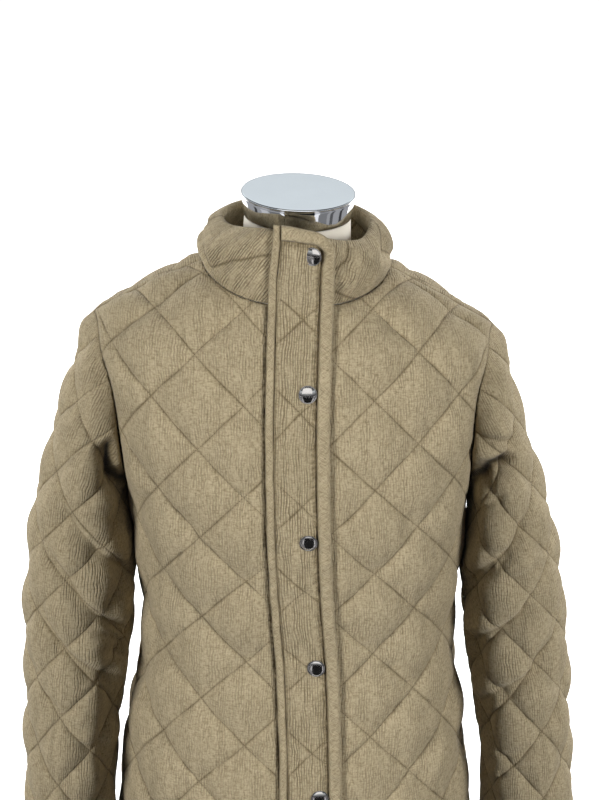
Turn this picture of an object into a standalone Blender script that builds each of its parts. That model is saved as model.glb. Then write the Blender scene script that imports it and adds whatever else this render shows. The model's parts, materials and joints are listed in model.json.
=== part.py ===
"""A quilted jacket with a stand collar, standing on a limbless dress form.

Metres, +Z up, the wearer faces -Y, the wearer's left is at +X. The origin is the centre of the
base's underside. Each piece of the jacket is cut from a surface that carries its flat pattern:
s is the distance across from the centre front or back, and w the distance up from the hem.
The quilting is a lattice of diamonds in that pattern, so it runs true to the cut of each piece.
"""
import math
from functools import lru_cache

import bmesh
import bpy
import numpy as np
from mathutils import Matrix, Vector
from mathutils.geometry import delaunay_2d_cdt

# ---- driving sizes --------------------------------------------------------------------------
CLOTH = 0.0025           # the quilted wall at a stitch line
GAP = 0.0003             # left between pieces that are sewn together
DIAMOND = 0.0925         # a quilting diamond, corner to corner
SLEEVE_DIAMOND = 0.0775  # the same on the sleeves, where five go round
SLEEVE_COUNT = 5
SLEEVE_HALF = SLEEVE_COUNT * SLEEVE_DIAMOND / 2   # half a sleeve, across its pattern
LATTICE = 4              # a diamond spans this many steps of the lattice that carries it
STEP = DIAMOND / LATTICE
PUFF = 0.008             # a diamond's middle over its stitch lines
SLEEVE_PUFF = 0.0065
SEAM_FADE = 0.022        # the puffs sink to nothing over this distance from a seam

# where a stitch line's crossing lies in each piece's pattern (across, up)
QUILT_RIGHT = (-0.0535, 0.0485)
QUILT_LEFT = (0.077, 0.0551)
QUILT_BACK = (0.0, 0.05)
QUILT_SLEEVE = {-1: (-0.006, 0.0216), 1: (0.002, 0.0050)}   # right, left
QUILT_COLLAR = (0.0, 0.0)
QUILT_FLAP = (0.004, 0.043)

HEM_Z = 0.275
YOKE_Z = 0.800           # above this level the cloth leans in to the shoulder line
SHOULDER_X = 0.203       # the shoulder tip
SHOULDER_Z = 0.842
SHOULDER_SLOPE = 0.545
NECK_ROUNDING = 0.035    # softens the shoulder line where it passes through the neck
SQUARENESS = 2.35        # of the body's level sections: 2 is an ellipse
TILT = 0.035             # the jacket sits a little higher on its right shoulder
SHIFT = -0.005           # and its shoulders a little towards that side
NECK_SHARE = 0.4         # of that shift reaches the neck
SWAY = -0.0045           # the hem hangs towards the same side
YOKE_FULLNESS = (1.25, 1.0)   # how far the cloth carries on upwards, and back from the shoulder line

UNDERARM_Z = 0.665
ARMHOLE_HALF_DEPTH = 0.055
NECK_HALF_WIDTH = 0.0935
NECK_FRONT_Y = -0.0800
NECK_SQUARENESS = 2.35   # of the neckline, in front and behind
NECK_BACK_Y = 0.072
NECK_Z = 0.87            # about where the fronts reach the neckline
NECK_TOP_W = 0.90         # a height on the collar

# body sections: z, half width, depth in front, depth behind
BODY_ROWS = np.array((
    (HEM_Z, 0.190, 0.132, 0.124),
    (0.345, 0.184, 0.129, 0.121),
    (0.405, 0.175, 0.124, 0.112),
    (0.455, 0.166, 0.119, 0.102),
    (0.510, 0.162, 0.117, 0.097),
    (0.592, 0.168, 0.123, 0.101),
    (0.662, 0.176, 0.128, 0.107),
    (0.725, 0.190, 0.123, 0.107),
    (YOKE_Z, SHOULDER_X, 0.108, 0.099)))

# sleeve sections: outer x and z, inner x and z, half depth, middle y, and how much further
# out the right sleeve hangs than the left
SLEEVE_ROWS = np.array((
    (0.2890, 0.245, 0.1985, 0.250, 0.0530, -0.030, 0.0000),
    (0.2900, 0.330, 0.1970, 0.335, 0.0545, -0.024, 0.0000),
    (0.2865, 0.405, 0.1920, 0.405, 0.0560, -0.018, 0.0020),
    (0.2835, 0.480, 0.1805, 0.475, 0.0580, -0.013, 0.0050),
    (0.2785, 0.550, 0.1745, 0.530, 0.0605, -0.010, 0.0110),
    (0.2670, 0.625, 0.1755, 0.575, 0.0610, -0.008, 0.0150),
    (0.2515, 0.684, 0.1775, 0.606, 0.0610, -0.006, 0.0150),
    (0.2340, 0.745, 0.1800, 0.630, 0.0600, -0.004, 0.0110),
    (0.2180, 0.800, 0.1790, 0.650, 0.0580, -0.002, 0.0050),
    (SHOULDER_X, SHOULDER_Z, 0.1765, UNDERARM_Z, ARMHOLE_HALF_DEPTH, 0.000, 0.0000)))

# collar: its top edge (half width, front y, back y; front, side and back z), and its outward roll
COLLAR_TOP_HALF_WIDTH = 0.080
COLLAR_TOP_FRONT_Y = -0.084
COLLAR_TOP_BACK_Y = 0.068
COLLAR_TOP_Z = (0.960, 0.947, 0.952)
COLLAR_DROP = 0.008       # its front is lower beyond the flap
COLLAR_HEIGHT = 0.07
COLLAR_PUFF = 0.0055
COLLAR_ROLL = 0.009       # its face swells out by this much at mid height
COLLAR_PROFILE = (
    # height up the collar, distance in from the outer face
    (0.00, 0.0000), (0.16, 0.0000), (0.32, 0.0000), (0.48, 0.0000), (0.64, 0.0000), (0.80, 0.0000),
    (0.93, 0.0010), (1.00, 0.0045), (0.99, 0.0085), (0.90, 0.0120), (0.70, 0.0120), (0.35, 0.0105),
    (0.00, 0.0030))

# front closing: where the strip and the flap lie across
FLAP_LEFT = -0.0225
FLAP_RIGHT = 0.0325
STRIP_WIDTH = 0.0085
BINDING_WIDTH = 0.0128
FLAP_LIFT = 0.0050       # the flap's outer side over the front
FLAP_PUFF = 0.004
STRIP_HEIGHTS = (0.0012, 0.0035, 0.0052)   # its underside, its shoulders and its middle
# and how far both wander aside on their way up: z, shift
FLAP_DRIFT = np.array((
    (0.275, 0.0175), (0.40, 0.0145), (0.47, 0.0105), (0.60, 0.0015),
    (0.73, -0.0010), (0.88, 0.0030), (0.97, 0.0045)))
SNAP_Z = (0.932, 0.797, 0.649, 0.505, 0.360)
SNAP_S = 0.0101
SNAP_RADIUS = 0.0092

# the dress form: a smooth figure inside the jacket
FORM_BOTTOM_Z = 0.205
FORM_EASE = 0.0046       # the form's shoulders under the jacket's outer surface
# z, half width, depth in front, depth behind
FORM_ROWS = np.array((
    (FORM_BOTTOM_Z, 0.150, 0.098, 0.094),
    (0.245, 0.158, 0.104, 0.103),
    (0.345, 0.158, 0.104, 0.104),
    (0.455, 0.136, 0.092, 0.082),
    (0.510, 0.130, 0.090, 0.076),
    (0.592, 0.138, 0.098, 0.080),
    (0.662, 0.152, 0.112, 0.090),
    (0.725, 0.170, 0.108, 0.096),
    (YOKE_Z, 0.193, 0.100, 0.092)))
NECK_RADIUS = 0.053
NECK_FLARE = 0.006       # the neck's foot is wider than its top by this much
NECK_LENGTH = 0.10
NECK_Y = -0.008
NECK_TOP_Z = 0.950
NECK_LEAN = math.radians(3.6)
CAP_RADIUS = 0.057
CAP_HEIGHT = 0.0245
BASE_RADIUS = 0.172
BASE_HEIGHT = 0.015
POLE_RADIUS = 0.0125


# ---- how finely things are divided ----------------------------------------------------------
LOW_ROWS = 88            # of the body's surface, from the hem to the yoke
HIGH_ROWS = 34           # and from there to the shoulder line
HALF_COLUMNS = 56        # from the middle to a side
SLEEVE_GRID = (90, 96)   # rows and columns of a sleeve's surface
ARMHOLE_STEPS = 8        # of half an armhole
SHOULDER_STEPS = 5
NECK_STEPS = 8           # of a quarter of the neckline
FRONT_ROWS = 110         # of the closing's surface, below the neckline
COLLAR_ROWS = 14         # and up the collar


# ---- surfaces -------------------------------------------------------------------------------
def through(knots, values, x):
    """A smooth curve through a table: cubic between rows, sloped as the neighbours are."""
    x = np.asarray(x, float)
    slope = np.gradient(values, knots)
    i = np.clip(np.searchsorted(knots, x, side="right") - 1, 0, len(knots) - 2)
    h = knots[i + 1] - knots[i]
    u = (x - knots[i]) / h
    return ((2 * u**3 - 3 * u**2 + 1) * values[i] + (u**3 - 2 * u**2 + u) * h * slope[i]
            + (3 * u**2 - 2 * u**3) * values[i + 1] + (u**3 - u**2) * h * slope[i + 1])


def ramp(x, low, high):
    """0 below low, 1 above high, and smooth between."""
    u = np.clip((x - low) / (high - low), 0, 1)
    return u * u * (3 - 2 * u)


def settle(points):
    """The jacket's lean: its upper half sits higher towards -X, and moves that way."""
    points = np.array(points, float)
    k = ramp(points[..., 2], 0.62, 0.86)
    from_neck = ramp(abs(points[..., 0]), 0.06, 0.16)
    points[..., 2] -= TILT * points[..., 0] * k
    points[..., 0] += SHIFT * k * (NECK_SHARE + (1 - NECK_SHARE) * from_neck)
    return points


def sway(points):
    """The body's hem hangs a little towards -X."""
    points[..., 0] += SWAY * (1 - ramp(points[..., 2], 0.34, 0.54))
    return points


def unit(v):
    return v / np.maximum(np.linalg.norm(v, axis=-1, keepdims=True), 1e-12)


def along(points, axis):
    """The distance walked along a grid's axis, from its first row."""
    d = np.linalg.norm(np.diff(points, axis=axis), axis=-1)
    return np.concatenate((np.zeros_like(np.take(d, [0], axis)), np.cumsum(d, axis)), axis)


class Surface:
    """A grid of points with its outward normals, and its flat pattern (s across, w up)."""

    def __init__(self, points, s, w, outward):
        self.points, self.s, self.w = points, s, w
        across = np.gradient(points, axis=1, edge_order=2)
        up = np.gradient(points, axis=0, edge_order=2)
        self.normals = unit(np.cross(across, up)) * outward

    def sample(self, field, at):
        """A field at fractional (row, column) places, cubic each way."""
        rows, cols = field.shape[:2]
        r = np.clip(at[:, 0], 0, rows - 1)
        c = np.clip(at[:, 1], 0, cols - 1)
        i = np.clip(r.astype(int), 0, rows - 2)
        j = np.clip(c.astype(int), 0, cols - 2)
        total = 0
        for di, wi in zip((-1, 0, 1, 2), catmull(r - i)):
            for dj, wj in zip((-1, 0, 1, 2), catmull(c - j)):
                value = extended(field, i + di, j + dj)
                total = total + value * (wi * wj).reshape((-1,) + (1,) * (field.ndim - 2))
        return total

    def solve(self, fields, wanted):
        """The (row, column) where two fields have the wanted values: nearest point, then Newton."""
        flat = np.stack([f.ravel() for f in fields], 1)
        start = np.array([np.argmin(((flat - v) ** 2).sum(1)) for v in wanted])
        at = np.stack(np.unravel_index(start, fields[0].shape), 1).astype(float)
        limit = np.array(fields[0].shape) - 1.0
        for _ in range(9):
            value = np.stack([self.sample(f, at) for f in fields], 1)
            h = 1e-3
            slopes = []
            for k in range(2):
                low, high = at.copy(), at.copy()
                low[:, k] = np.clip(at[:, k] - h, 0, limit[k])
                high[:, k] = np.clip(at[:, k] + h, 0, limit[k])
                change = np.stack([self.sample(f, high) - self.sample(f, low) for f in fields], 1)
                slopes.append(change / (high - low)[:, k:k + 1])
            a, b = slopes
            e = np.asarray(wanted) - value
            det = a[:, 0] * b[:, 1] - a[:, 1] * b[:, 0]
            det = np.where(abs(det) < 1e-12, 1e-12, det)
            move = np.stack((e[:, 0] * b[:, 1] - e[:, 1] * b[:, 0],
                             a[:, 0] * e[:, 1] - a[:, 1] * e[:, 0]), 1) / det[:, None]
            at = np.clip(at + np.clip(move, -2, 2), 0, limit)
        return at


def catmull(u):
    return (0.5 * (-u + 2 * u**2 - u**3), 0.5 * (2 - 5 * u**2 + 3 * u**3),
            0.5 * (u + 4 * u**2 - 3 * u**3), 0.5 * (u**3 - u**2))


def extended(field, i, j):
    """A grid's value, carried straight on for one row past each edge."""
    rows, cols = field.shape[:2]
    ii, jj = np.clip(i, 0, rows - 1), np.clip(j, 0, cols - 1)
    value = field[ii, jj]
    mirror_i = np.clip(2 * ii - i, 0, rows - 1)
    mirror_j = np.clip(2 * jj - j, 0, cols - 1)
    value = value + (field[ii, jj] - field[mirror_i, jj]) + (field[ii, jj] - field[ii, mirror_j])
    return value


def shoulder_line(x):
    """Height of the shoulder seam: a straight slope, rounded off where it passes the neck."""
    reach = np.sqrt(SHOULDER_X**2 + NECK_ROUNDING**2)
    return SHOULDER_Z + SHOULDER_SLOPE * (reach - np.sqrt(x**2 + NECK_ROUNDING**2))


@lru_cache(None)
def body_half(front, form=False):
    """Front or back of the body, from side to side.

    Level sections are quarter superellipses, spaced evenly by arc length; above the yoke each
    column leaves its section as it leans and curves over to the shoulder line.
    """
    rows, ease = (FORM_ROWS, FORM_EASE) if form else (BODY_ROWS, 0.0)
    facing = -1 if front else 1
    z = np.linspace(rows[0, 0], rows[-1, 0], LOW_ROWS)
    half = through(rows[:, 0], rows[:, 1], z)
    depth = through(rows[:, 0], rows[:, 2 if front else 3], z)
    phi = np.linspace(0, math.pi / 2, 241)
    x = half[:, None] * np.sin(phi) ** (2 / SQUARENESS)
    y = depth[:, None] * np.cos(phi) ** (2 / SQUARENESS) * facing
    walked = along(np.stack((x, y), 2), 1)
    share = np.linspace(0, 1, HALF_COLUMNS)
    lower = np.stack([
        np.stack((np.interp(share * t[-1], t, a), np.interp(share * t[-1], t, b), 0 * share + level), 1)
        for t, a, b, level in zip(walked, x, y, z)])
    start = lower[-1]
    leave = (lower[-1] - lower[-2]) / (z[-1] - z[-2]) * YOKE_FULLNESS[0]
    arrive = np.stack((0 * share, -facing + 0 * share, 0 * share), 1) * YOKE_FULLNESS[1]
    end = np.stack((start[:, 0], 0 * share, shoulder_line(start[:, 0]) - ease), 1)
    span = np.linalg.norm(end - start, axis=1)[:, None]
    u = np.linspace(0, 1, HIGH_ROWS)[1:, None, None]
    upper = ((2 * u**3 - 3 * u**2 + 1) * start + (u**3 - 2 * u**2 + u) * leave * span
             + (3 * u**2 - 2 * u**3) * end + (u**3 - u**2) * arrive * span)
    quarter = np.concatenate((lower, upper), 0)
    mirrored = quarter[:, :0:-1] * np.array((-1, 1, 1))
    return np.concatenate((mirrored, quarter), 1)


def body_surface(front):
    points = body_half(front)
    middle = points.shape[1] // 2
    s = along(points, 1)
    s = s - s[:, middle:middle + 1]
    w = along(points, 0)
    return Surface(sway(settle(points)), s, w, 1 if front else -1)


FRONT = body_surface(True)
BACK = body_surface(False)


def on_shoulder(surface, x):
    """(row, column) on the shoulder line at distances x from the middle (before the lean)."""
    top = body_half(surface is FRONT)[-1, :, 0]
    column = np.interp(x, top, np.arange(len(top)))
    return np.stack((np.full(len(x), len(surface.points) - 1.0), column), 1)


@lru_cache(None)
def armhole(front, side, count=ARMHOLE_STEPS):
    """Places on the body's surface round half an armhole, from the underarm to the shoulder tip."""
    q = np.linspace(0, 1, count + 1)
    flat = body_half(front)
    middle = flat.shape[1] // 2
    keep = flat[:, middle:] if side > 0 else flat[:, middle::-1]
    facing = -1 if front else 1
    z = UNDERARM_Z + (SHOULDER_Z - UNDERARM_Z) * (1 - np.cos(math.pi * q)) / 2
    y = facing * ARMHOLE_HALF_DEPTH * np.sin(math.pi * q)
    surface = FRONT if front else BACK
    at = surface.solve((keep[..., 1], keep[..., 2]), np.stack((y, z), 1))
    last = keep.shape[1] - 1
    at[0, 1] = last
    at[-1] = (len(flat) - 1, last)
    at[:, 1] = middle + side * at[:, 1]
    return at


@lru_cache(None)
def neckline(front, side, count=NECK_STEPS):
    """Places on the body's surface along a quarter of the neckline, from the middle to the shoulder."""
    phi = np.linspace(0, math.pi / 2, count + 1)
    flat = body_half(front)
    middle = flat.shape[1] // 2
    keep = flat[:, middle:] if side > 0 else flat[:, middle::-1]
    x = side * NECK_HALF_WIDTH * np.sin(phi) ** (2 / NECK_SQUARENESS)
    y = (NECK_FRONT_Y if front else NECK_BACK_Y) * np.cos(phi) ** (2 / NECK_SQUARENESS)
    surface = FRONT if front else BACK
    at = surface.solve((keep[..., 0], keep[..., 1]), np.stack((x, y), 1))
    at[0, 1] = 0
    at[-1, 0] = len(flat) - 1
    at[:, 1] = middle + side * at[:, 1]
    return at


def sleeve_surface(side):
    """A sleeve as a tube, cuff to armhole: each ring spans its outer and inner points, and the
    last ring is the armhole itself. Columns run from the underarm over the front to the back."""
    rows, columns = SLEEVE_GRID
    theta = np.linspace(-math.pi, math.pi, columns + 1)
    mid = (SLEEVE_ROWS[:, 0:2] + SLEEVE_ROWS[:, 2:4]) / 2
    knots = np.concatenate(([0], np.cumsum(np.linalg.norm(np.diff(mid, axis=0), axis=1))))
    t = np.linspace(0, knots[-1], rows)
    outer_x, outer_z, inner_x, inner_z, depth, middle_y, swing = (
        through(knots, SLEEVE_ROWS[:, k], t)[:, None] for k in range(SLEEVE_ROWS.shape[1]))
    outer_x = outer_x - side * swing / 2
    up, across = (1 + np.cos(theta)) / 2, np.sin(theta)
    x = inner_x + (outer_x - inner_x) * up
    z = inner_z + (outer_z - inner_z) * up
    y = middle_y + depth * across
    points = np.stack((side * x, y, z), 2)
    seam = armhole_ring(side, theta)
    blend = ramp(t, knots[-1] - 0.075, knots[-1])[:, None, None]
    points = settle(points + (seam - points[-1]) * blend)
    s = np.broadcast_to(theta / math.pi * SLEEVE_HALF, points.shape[:2]).copy()
    return Surface(points, s, along(points, 0), side)


def armhole_ring(side, theta):
    """The armhole's points (before the lean) at angles from the underarm over the front and back."""
    ring = np.zeros((len(theta), 3))
    for front in (True, False):
        half = body_half(front)
        surface = FRONT if front else BACK
        at = armhole(front, side, 40)
        points = surface.sample(half, at)
        here = theta <= 0 if front else theta > 0
        q = 1 - abs(theta[here]) / math.pi
        ring[here] = np.stack([np.interp(q, np.linspace(0, 1, 41), points[:, k]) for k in range(3)], 1)
    return ring


def relief(s, w, across, up, diamond=DIAMOND):
    """Height of the diamonds over their stitch lines, from 0 to 1, in pattern coordinates."""
    a = math.pi * (s - across + w - up) / diamond
    b = math.pi * (s - across - w + up) / diamond
    return np.abs(np.sin(a) * np.sin(b)) ** 0.8


# ---- solids ---------------------------------------------------------------------------------
def clean_scene():
    for item in list(bpy.data.objects):
        bpy.data.objects.remove(item, do_unlink=True)


def material(name, colour, roughness, metallic=0.0):
    made = bpy.data.materials.new(name)
    made.use_nodes = True
    shader = made.node_tree.nodes["Principled BSDF"]
    shader.inputs["Base Color"].default_value = (*colour, 1)
    shader.inputs["Roughness"].default_value = roughness
    shader.inputs["Metallic"].default_value = metallic
    return made


def add(name, points, faces, finish):
    """One closed solid from its points and faces, in the part's collection."""
    mesh = bpy.data.meshes.new(name)
    mesh.from_pydata([tuple(p) for p in points], [], [tuple(int(i) for i in f) for f in faces])
    work = bmesh.new()
    work.from_mesh(mesh)
    bmesh.ops.remove_doubles(work, verts=work.verts, dist=1e-6)
    bmesh.ops.recalc_face_normals(work, faces=work.faces)
    work.to_mesh(mesh)
    work.free()
    mesh.materials.append(finish)
    made = bpy.data.objects.new(name, mesh)
    PART.objects.link(made)
    return made


def inset(outline, distance):
    """A closed outline moved inwards by a distance."""
    before = unit(outline - np.roll(outline, 1, 0))
    after = unit(np.roll(outline, -1, 0) - outline)
    left_before = np.stack((-before[:, 1], before[:, 0]), 1)
    left_after = np.stack((-after[:, 1], after[:, 0]), 1)
    bisector = left_before + left_after
    scale = distance / np.maximum((bisector * left_after).sum(1), 0.2)
    return outline + bisector * scale[:, None]


def inside(points, outline):
    """Which points lie in a polygon, by counting the edges that a ray crosses."""
    x, y = points[:, 0, None], points[:, 1, None]
    ax, ay = outline[:, 0], outline[:, 1]
    bx, by = np.roll(ax, -1), np.roll(ay, -1)
    crosses = (ay > y) != (by > y)
    reach = ax + (y - ay) / np.where(by == ay, 1e-12, by - ay) * (bx - ax)
    return (crosses & (x < reach)).sum(1) % 2 == 1


def from_edge(points, outline):
    """Distance of each point from a closed outline's edges."""
    d = np.roll(outline, -1, 0) - outline
    u = ((points[:, None] - outline) * d).sum(2) / np.maximum((d * d).sum(1), 1e-15)
    near = outline + np.clip(u, 0, 1)[..., None] * d
    return np.linalg.norm(points[:, None] - near, axis=2).min(1)


def cut(outline, across, up, diamond=DIAMOND):
    """Triangles for a flat piece, with an edge along every quilting line.

    The points are the outline's and the lattice's that lie inside it; a lattice square is
    split along the stitch line that crosses it.
    """
    step = diamond / LATTICE
    outline = outline.astype(np.float32).astype(float)
    low, high = outline.min(0), outline.max(0)
    i = np.arange(math.floor((low[0] - across) / step), math.ceil((high[0] - across) / step) + 1)
    j = np.arange(math.floor((low[1] - up) / step), math.ceil((high[1] - up) / step) + 1)
    grid_i, grid_j = (g.ravel() for g in np.meshgrid(i, j))
    points = np.stack((across + grid_i * step, up + grid_j * step), 1)
    clear = step / 3
    good = inside(points, outline) & (from_edge(points, outline) > clear)
    places = zip(grid_i[good].tolist(), grid_j[good].tolist())
    count = len(outline)
    index = {place: count + k for k, place in enumerate(places)}
    edges = []
    for (a, b), k in index.items():
        if (a - b) % LATTICE == 0 and (a + 1, b + 1) in index:
            edges.append((k, index[a + 1, b + 1]))
        if (a + b) % LATTICE == 0 and (a + 1, b - 1) in index:
            edges.append((k, index[a + 1, b - 1]))
    every = np.concatenate((outline, points[good]))
    edges = np.array(edges, int).reshape(-1, 2)
    if len(edges):
        middle = every[edges].mean(1)
        edges = edges[inside(middle, outline) & (from_edge(middle, outline) > step / 4)]
    loop = [(k, (k + 1) % count) for k in range(count)]
    flat = [Vector(p) for p in every]
    made = delaunay_2d_cdt(flat, loop + edges.tolist(), [list(range(count))], 1, 1e-7, True)
    source = [ids[0] if ids else -1 for ids in made[3]]
    faces = np.array([[source[k] for k in face] for face in made[2]])
    faces = faces[inside(every[faces].mean(1), outline)]
    return every, faces.tolist(), count


def wall(name, outer, inner, faces, rim, finish):
    """A cloth wall from its outer and inner points: both sides, and the cut edge all round.

    faces run clockwise seen from outside; rim lists the cut edge's (point, next point) pairs.
    """
    count = len(outer)
    both = [f[::-1] for f in faces] + [[k + count for k in f] for f in faces]
    for a, b in rim:
        both += [(a, b, b + count), (a, b + count, a + count)]
    return add(name, np.concatenate((outer, inner)), both, finish)


def squeeze(normals, points, side, low, high):
    """Less puff where a sleeve and the body's side lie close together."""
    facing = ramp(side * normals[:, 0], 0.70, 0.95)
    return 1 - facing * ramp(points[:, 2], low, high)


def outline_of(surface, chains):
    """Joins chains of (row, column) places, or of (s, w) pairs, into one outline."""
    points = []
    for kind, chain in chains:
        if kind == "at":
            chain = np.stack((surface.sample(surface.s, chain), surface.sample(surface.w, chain)), 1)
        points += [p for p in chain]
    points = np.array(points)
    new = np.hypot(*(points - np.roll(points, 1, 0)).T) > 1e-5
    return points[new]


def counted(start, stop, step):
    """Places from start to stop, evenly spaced at about a step."""
    return np.linspace(start, stop, max(2, int(round(abs(stop - start) / step)) + 1))


def drift(z):
    """How far the closing wanders across at a height."""
    return through(FLAP_DRIFT[:, 0], FLAP_DRIFT[:, 1], z)


def edge_s(z):
    """Where the fronts meet, under the strip, at a height."""
    return FLAP_LEFT - STRIP_WIDTH + drift(z)


def neck_from(surface, side, start):
    """A front's neckline from the shoulder down to where it crosses s = start."""
    near = 0.004
    if side * start > 0:
        fine, at = neckline(True, side, 80), neckline(True, side)
        s = side * surface.sample(surface.s, fine)
        crossing = [np.interp(side * start, s, fine[:, k]) for k in (0, 1)]
        rest = at[side * surface.sample(surface.s, at) > side * start + near]
    else:
        fine, at = neckline(True, -side, 80), neckline(True, -side)[1:]
        s = abs(surface.sample(surface.s, fine))
        crossing = [np.interp(abs(start), s, fine[:, k]) for k in (0, 1)]
        past = at[abs(surface.sample(surface.s, at)) < abs(start) - near][::-1]
        rest = np.concatenate((past, neckline(True, side)))
    return np.concatenate(([crossing], rest))[::-1]


def body_chains(surface, front, side):
    """Side seam, half armhole and shoulder seam, going up, in (row, column) places."""
    last = surface.points.shape[1] // 2
    column = last + side * last
    side_w = surface.w[:, column]
    rows = np.arange(len(side_w))
    top = np.interp(UNDERARM_Z, body_half(front)[:LOW_ROWS, column, 2], rows[:LOW_ROWS])
    w = counted(0, np.interp(top, rows, side_w), STEP)
    seam = np.stack((np.interp(w, side_w, rows), np.full(len(w), float(column))), 1)
    hole = armhole(front, side)
    neck_x = np.linspace(SHOULDER_X, NECK_HALF_WIDTH, SHOULDER_STEPS + 1)
    shoulder = on_shoulder(surface, side * neck_x)
    shoulder[0] = hole[-1]
    return seam, hole, shoulder


def front_panel(side, finish):
    """A front, from the closing at the strip to the side seam, armhole, shoulder and neck."""
    seam, hole, shoulder = body_chains(FRONT, True, side)
    neck = neck_from(FRONT, side, edge_s(NECK_Z))
    neck[0] = shoulder[-1]
    neck_flat = np.array((FRONT.sample(FRONT.s, neck[-1:])[0], FRONT.sample(FRONT.w, neck[-1:])[0]))
    w = counted(neck_flat[1], 0, STEP)
    closing_edge = np.stack((edge_s(HEM_Z + w), w), 1)
    closing_edge[0] = neck_flat
    hem_s = counted(closing_edge[-1, 0], FRONT.s[0, -1] * side, STEP)
    hem = np.stack((hem_s, 0 * hem_s), 1)
    outline = outline_of(FRONT, (("flat", hem), ("at", seam), ("at", hole), ("at", shoulder),
                                 ("at", neck), ("flat", closing_edge)))
    if side < 0:
        return cloth("right_front", FRONT, outline[::-1], QUILT_RIGHT, finish)
    return cloth("left_front", FRONT, outline, QUILT_LEFT, finish, under_flap)


def under_flap(flat):
    """No puffs where the strip and the flap cover the left front."""
    return ramp(flat[:, 0] - FLAP_RIGHT - drift(HEM_Z + flat[:, 1]), 0.002, 0.020)


def back_panel(finish):
    """The back, cut in one from side seam to side seam."""
    chains = []
    seam, hole, shoulder = body_chains(BACK, False, 1)
    neck = neckline(False, 1)[::-1]
    neck[0] = shoulder[-1]
    for chain in (seam, hole, shoulder, neck):
        chains.append(("at", chain))
    seam, hole, shoulder = body_chains(BACK, False, -1)
    neck = neckline(False, -1)
    neck[-1] = shoulder[-1]
    for chain in (neck, shoulder[::-1], hole[::-1], seam[::-1]):
        chains.append(("at", chain))
    hem_s = counted(BACK.s[0, 0], BACK.s[0, -1], STEP)
    chains.append(("flat", np.stack((hem_s, 0 * hem_s), 1)))
    return cloth("back", BACK, outline_of(BACK, chains), QUILT_BACK, finish)


def cloth(name, surface, outline, quilt, finish, extra=None, lift=0.0, puff=PUFF):
    """A quilted panel cut to an outline on a surface's pattern: puffs outside, plain inside."""
    outline = inset(outline, GAP / 2)
    flat, faces, count = cut(outline, *quilt)
    at = surface.solve((surface.s, surface.w), flat)
    points = surface.sample(surface.points, at)
    normals = unit(surface.sample(surface.normals, at))
    height = puff * relief(*flat.T, *quilt) * ramp(from_edge(flat, outline), 0, SEAM_FADE)
    for side in (-1, 1):
        height *= squeeze(normals, points, side, 0.50, 0.58)
    if extra is not None:
        height *= extra(flat)
    outer = points + normals * (lift + height[:, None])
    inner = points + normals * (lift - CLOTH)
    rim = [(k, (k + 1) % count) for k in range(count)]
    return wall(name, outer, inner, faces, rim, finish)


def sleeve(side, finish):
    """A sleeve cut flat with a shaped cap and closed into a tube along its underarm seam."""
    surface = sleeve_surface(side)
    last_row, last_column = len(surface.points) - 1, surface.points.shape[1] - 1
    cap = np.stack((np.full(2 * ARMHOLE_STEPS + 1, float(last_row)),
                    np.linspace(0, last_column, 2 * ARMHOLE_STEPS + 1)), 1)
    cap_s, cap_w = surface.sample(surface.s, cap), surface.sample(surface.w, cap) - GAP
    w = counted(0, cap_w[0], SLEEVE_DIAMOND / LATTICE)
    cuff_s = np.linspace(-SLEEVE_HALF, SLEEVE_HALF, LATTICE * SLEEVE_COUNT + 1)
    outline = outline_of(surface, (
        ("flat", np.stack((cuff_s, 0 * cuff_s), 1)),
        ("flat", np.stack((0 * w + SLEEVE_HALF, w), 1)),
        ("flat", np.stack((cap_s, cap_w), 1)[::-1]),
        ("flat", np.stack((0 * w - SLEEVE_HALF, w), 1)[::-1])))
    flat, faces, count = cut(outline, *QUILT_SLEEVE[side], SLEEVE_DIAMOND)
    s, w = flat.T
    at = surface.solve((surface.s, surface.w), flat)
    at[:, 1] = (s / SLEEVE_HALF + 1) / 2 * last_column
    points = surface.sample(surface.points, at)
    normals = unit(surface.sample(surface.normals, at))
    seam = np.isclose(abs(s), SLEEVE_HALF)
    along_seam = unit(surface.normals[:, 0] + surface.normals[:, -1])
    normals[seam] = unit(np.stack([np.interp(at[seam, 0], np.arange(last_row + 1), along_seam[:, k])
                                   for k in range(3)], 1))
    under_cap = np.interp(s, cap_s, cap_w) - w
    height = SLEEVE_PUFF * relief(s, w, *QUILT_SLEEVE[side], SLEEVE_DIAMOND)
    height *= ramp(np.minimum(w, under_cap), 0, SEAM_FADE) * squeeze(normals, points, -side, 0.46, 0.54)
    back = -normals
    rim = np.isclose(under_cap, 0, atol=1e-6)
    rim[count:] = False
    back[rim] = beyond_armhole(points[rim], back[rim], side)
    outer, inner = points + normals * height[:, None], points + back * CLOTH
    edge = [(k, (k + 1) % count) for k in range(count)]
    edge = [(a, b) for a, b in edge if not (seam[a] and np.isclose(s[a], s[b]))]
    if side > 0:
        faces = [f[::-1] for f in faces]
        edge = [(b, a) for a, b in edge]
    return wall("left_sleeve" if side > 0 else "right_sleeve", outer, inner, faces, edge, finish)


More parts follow.
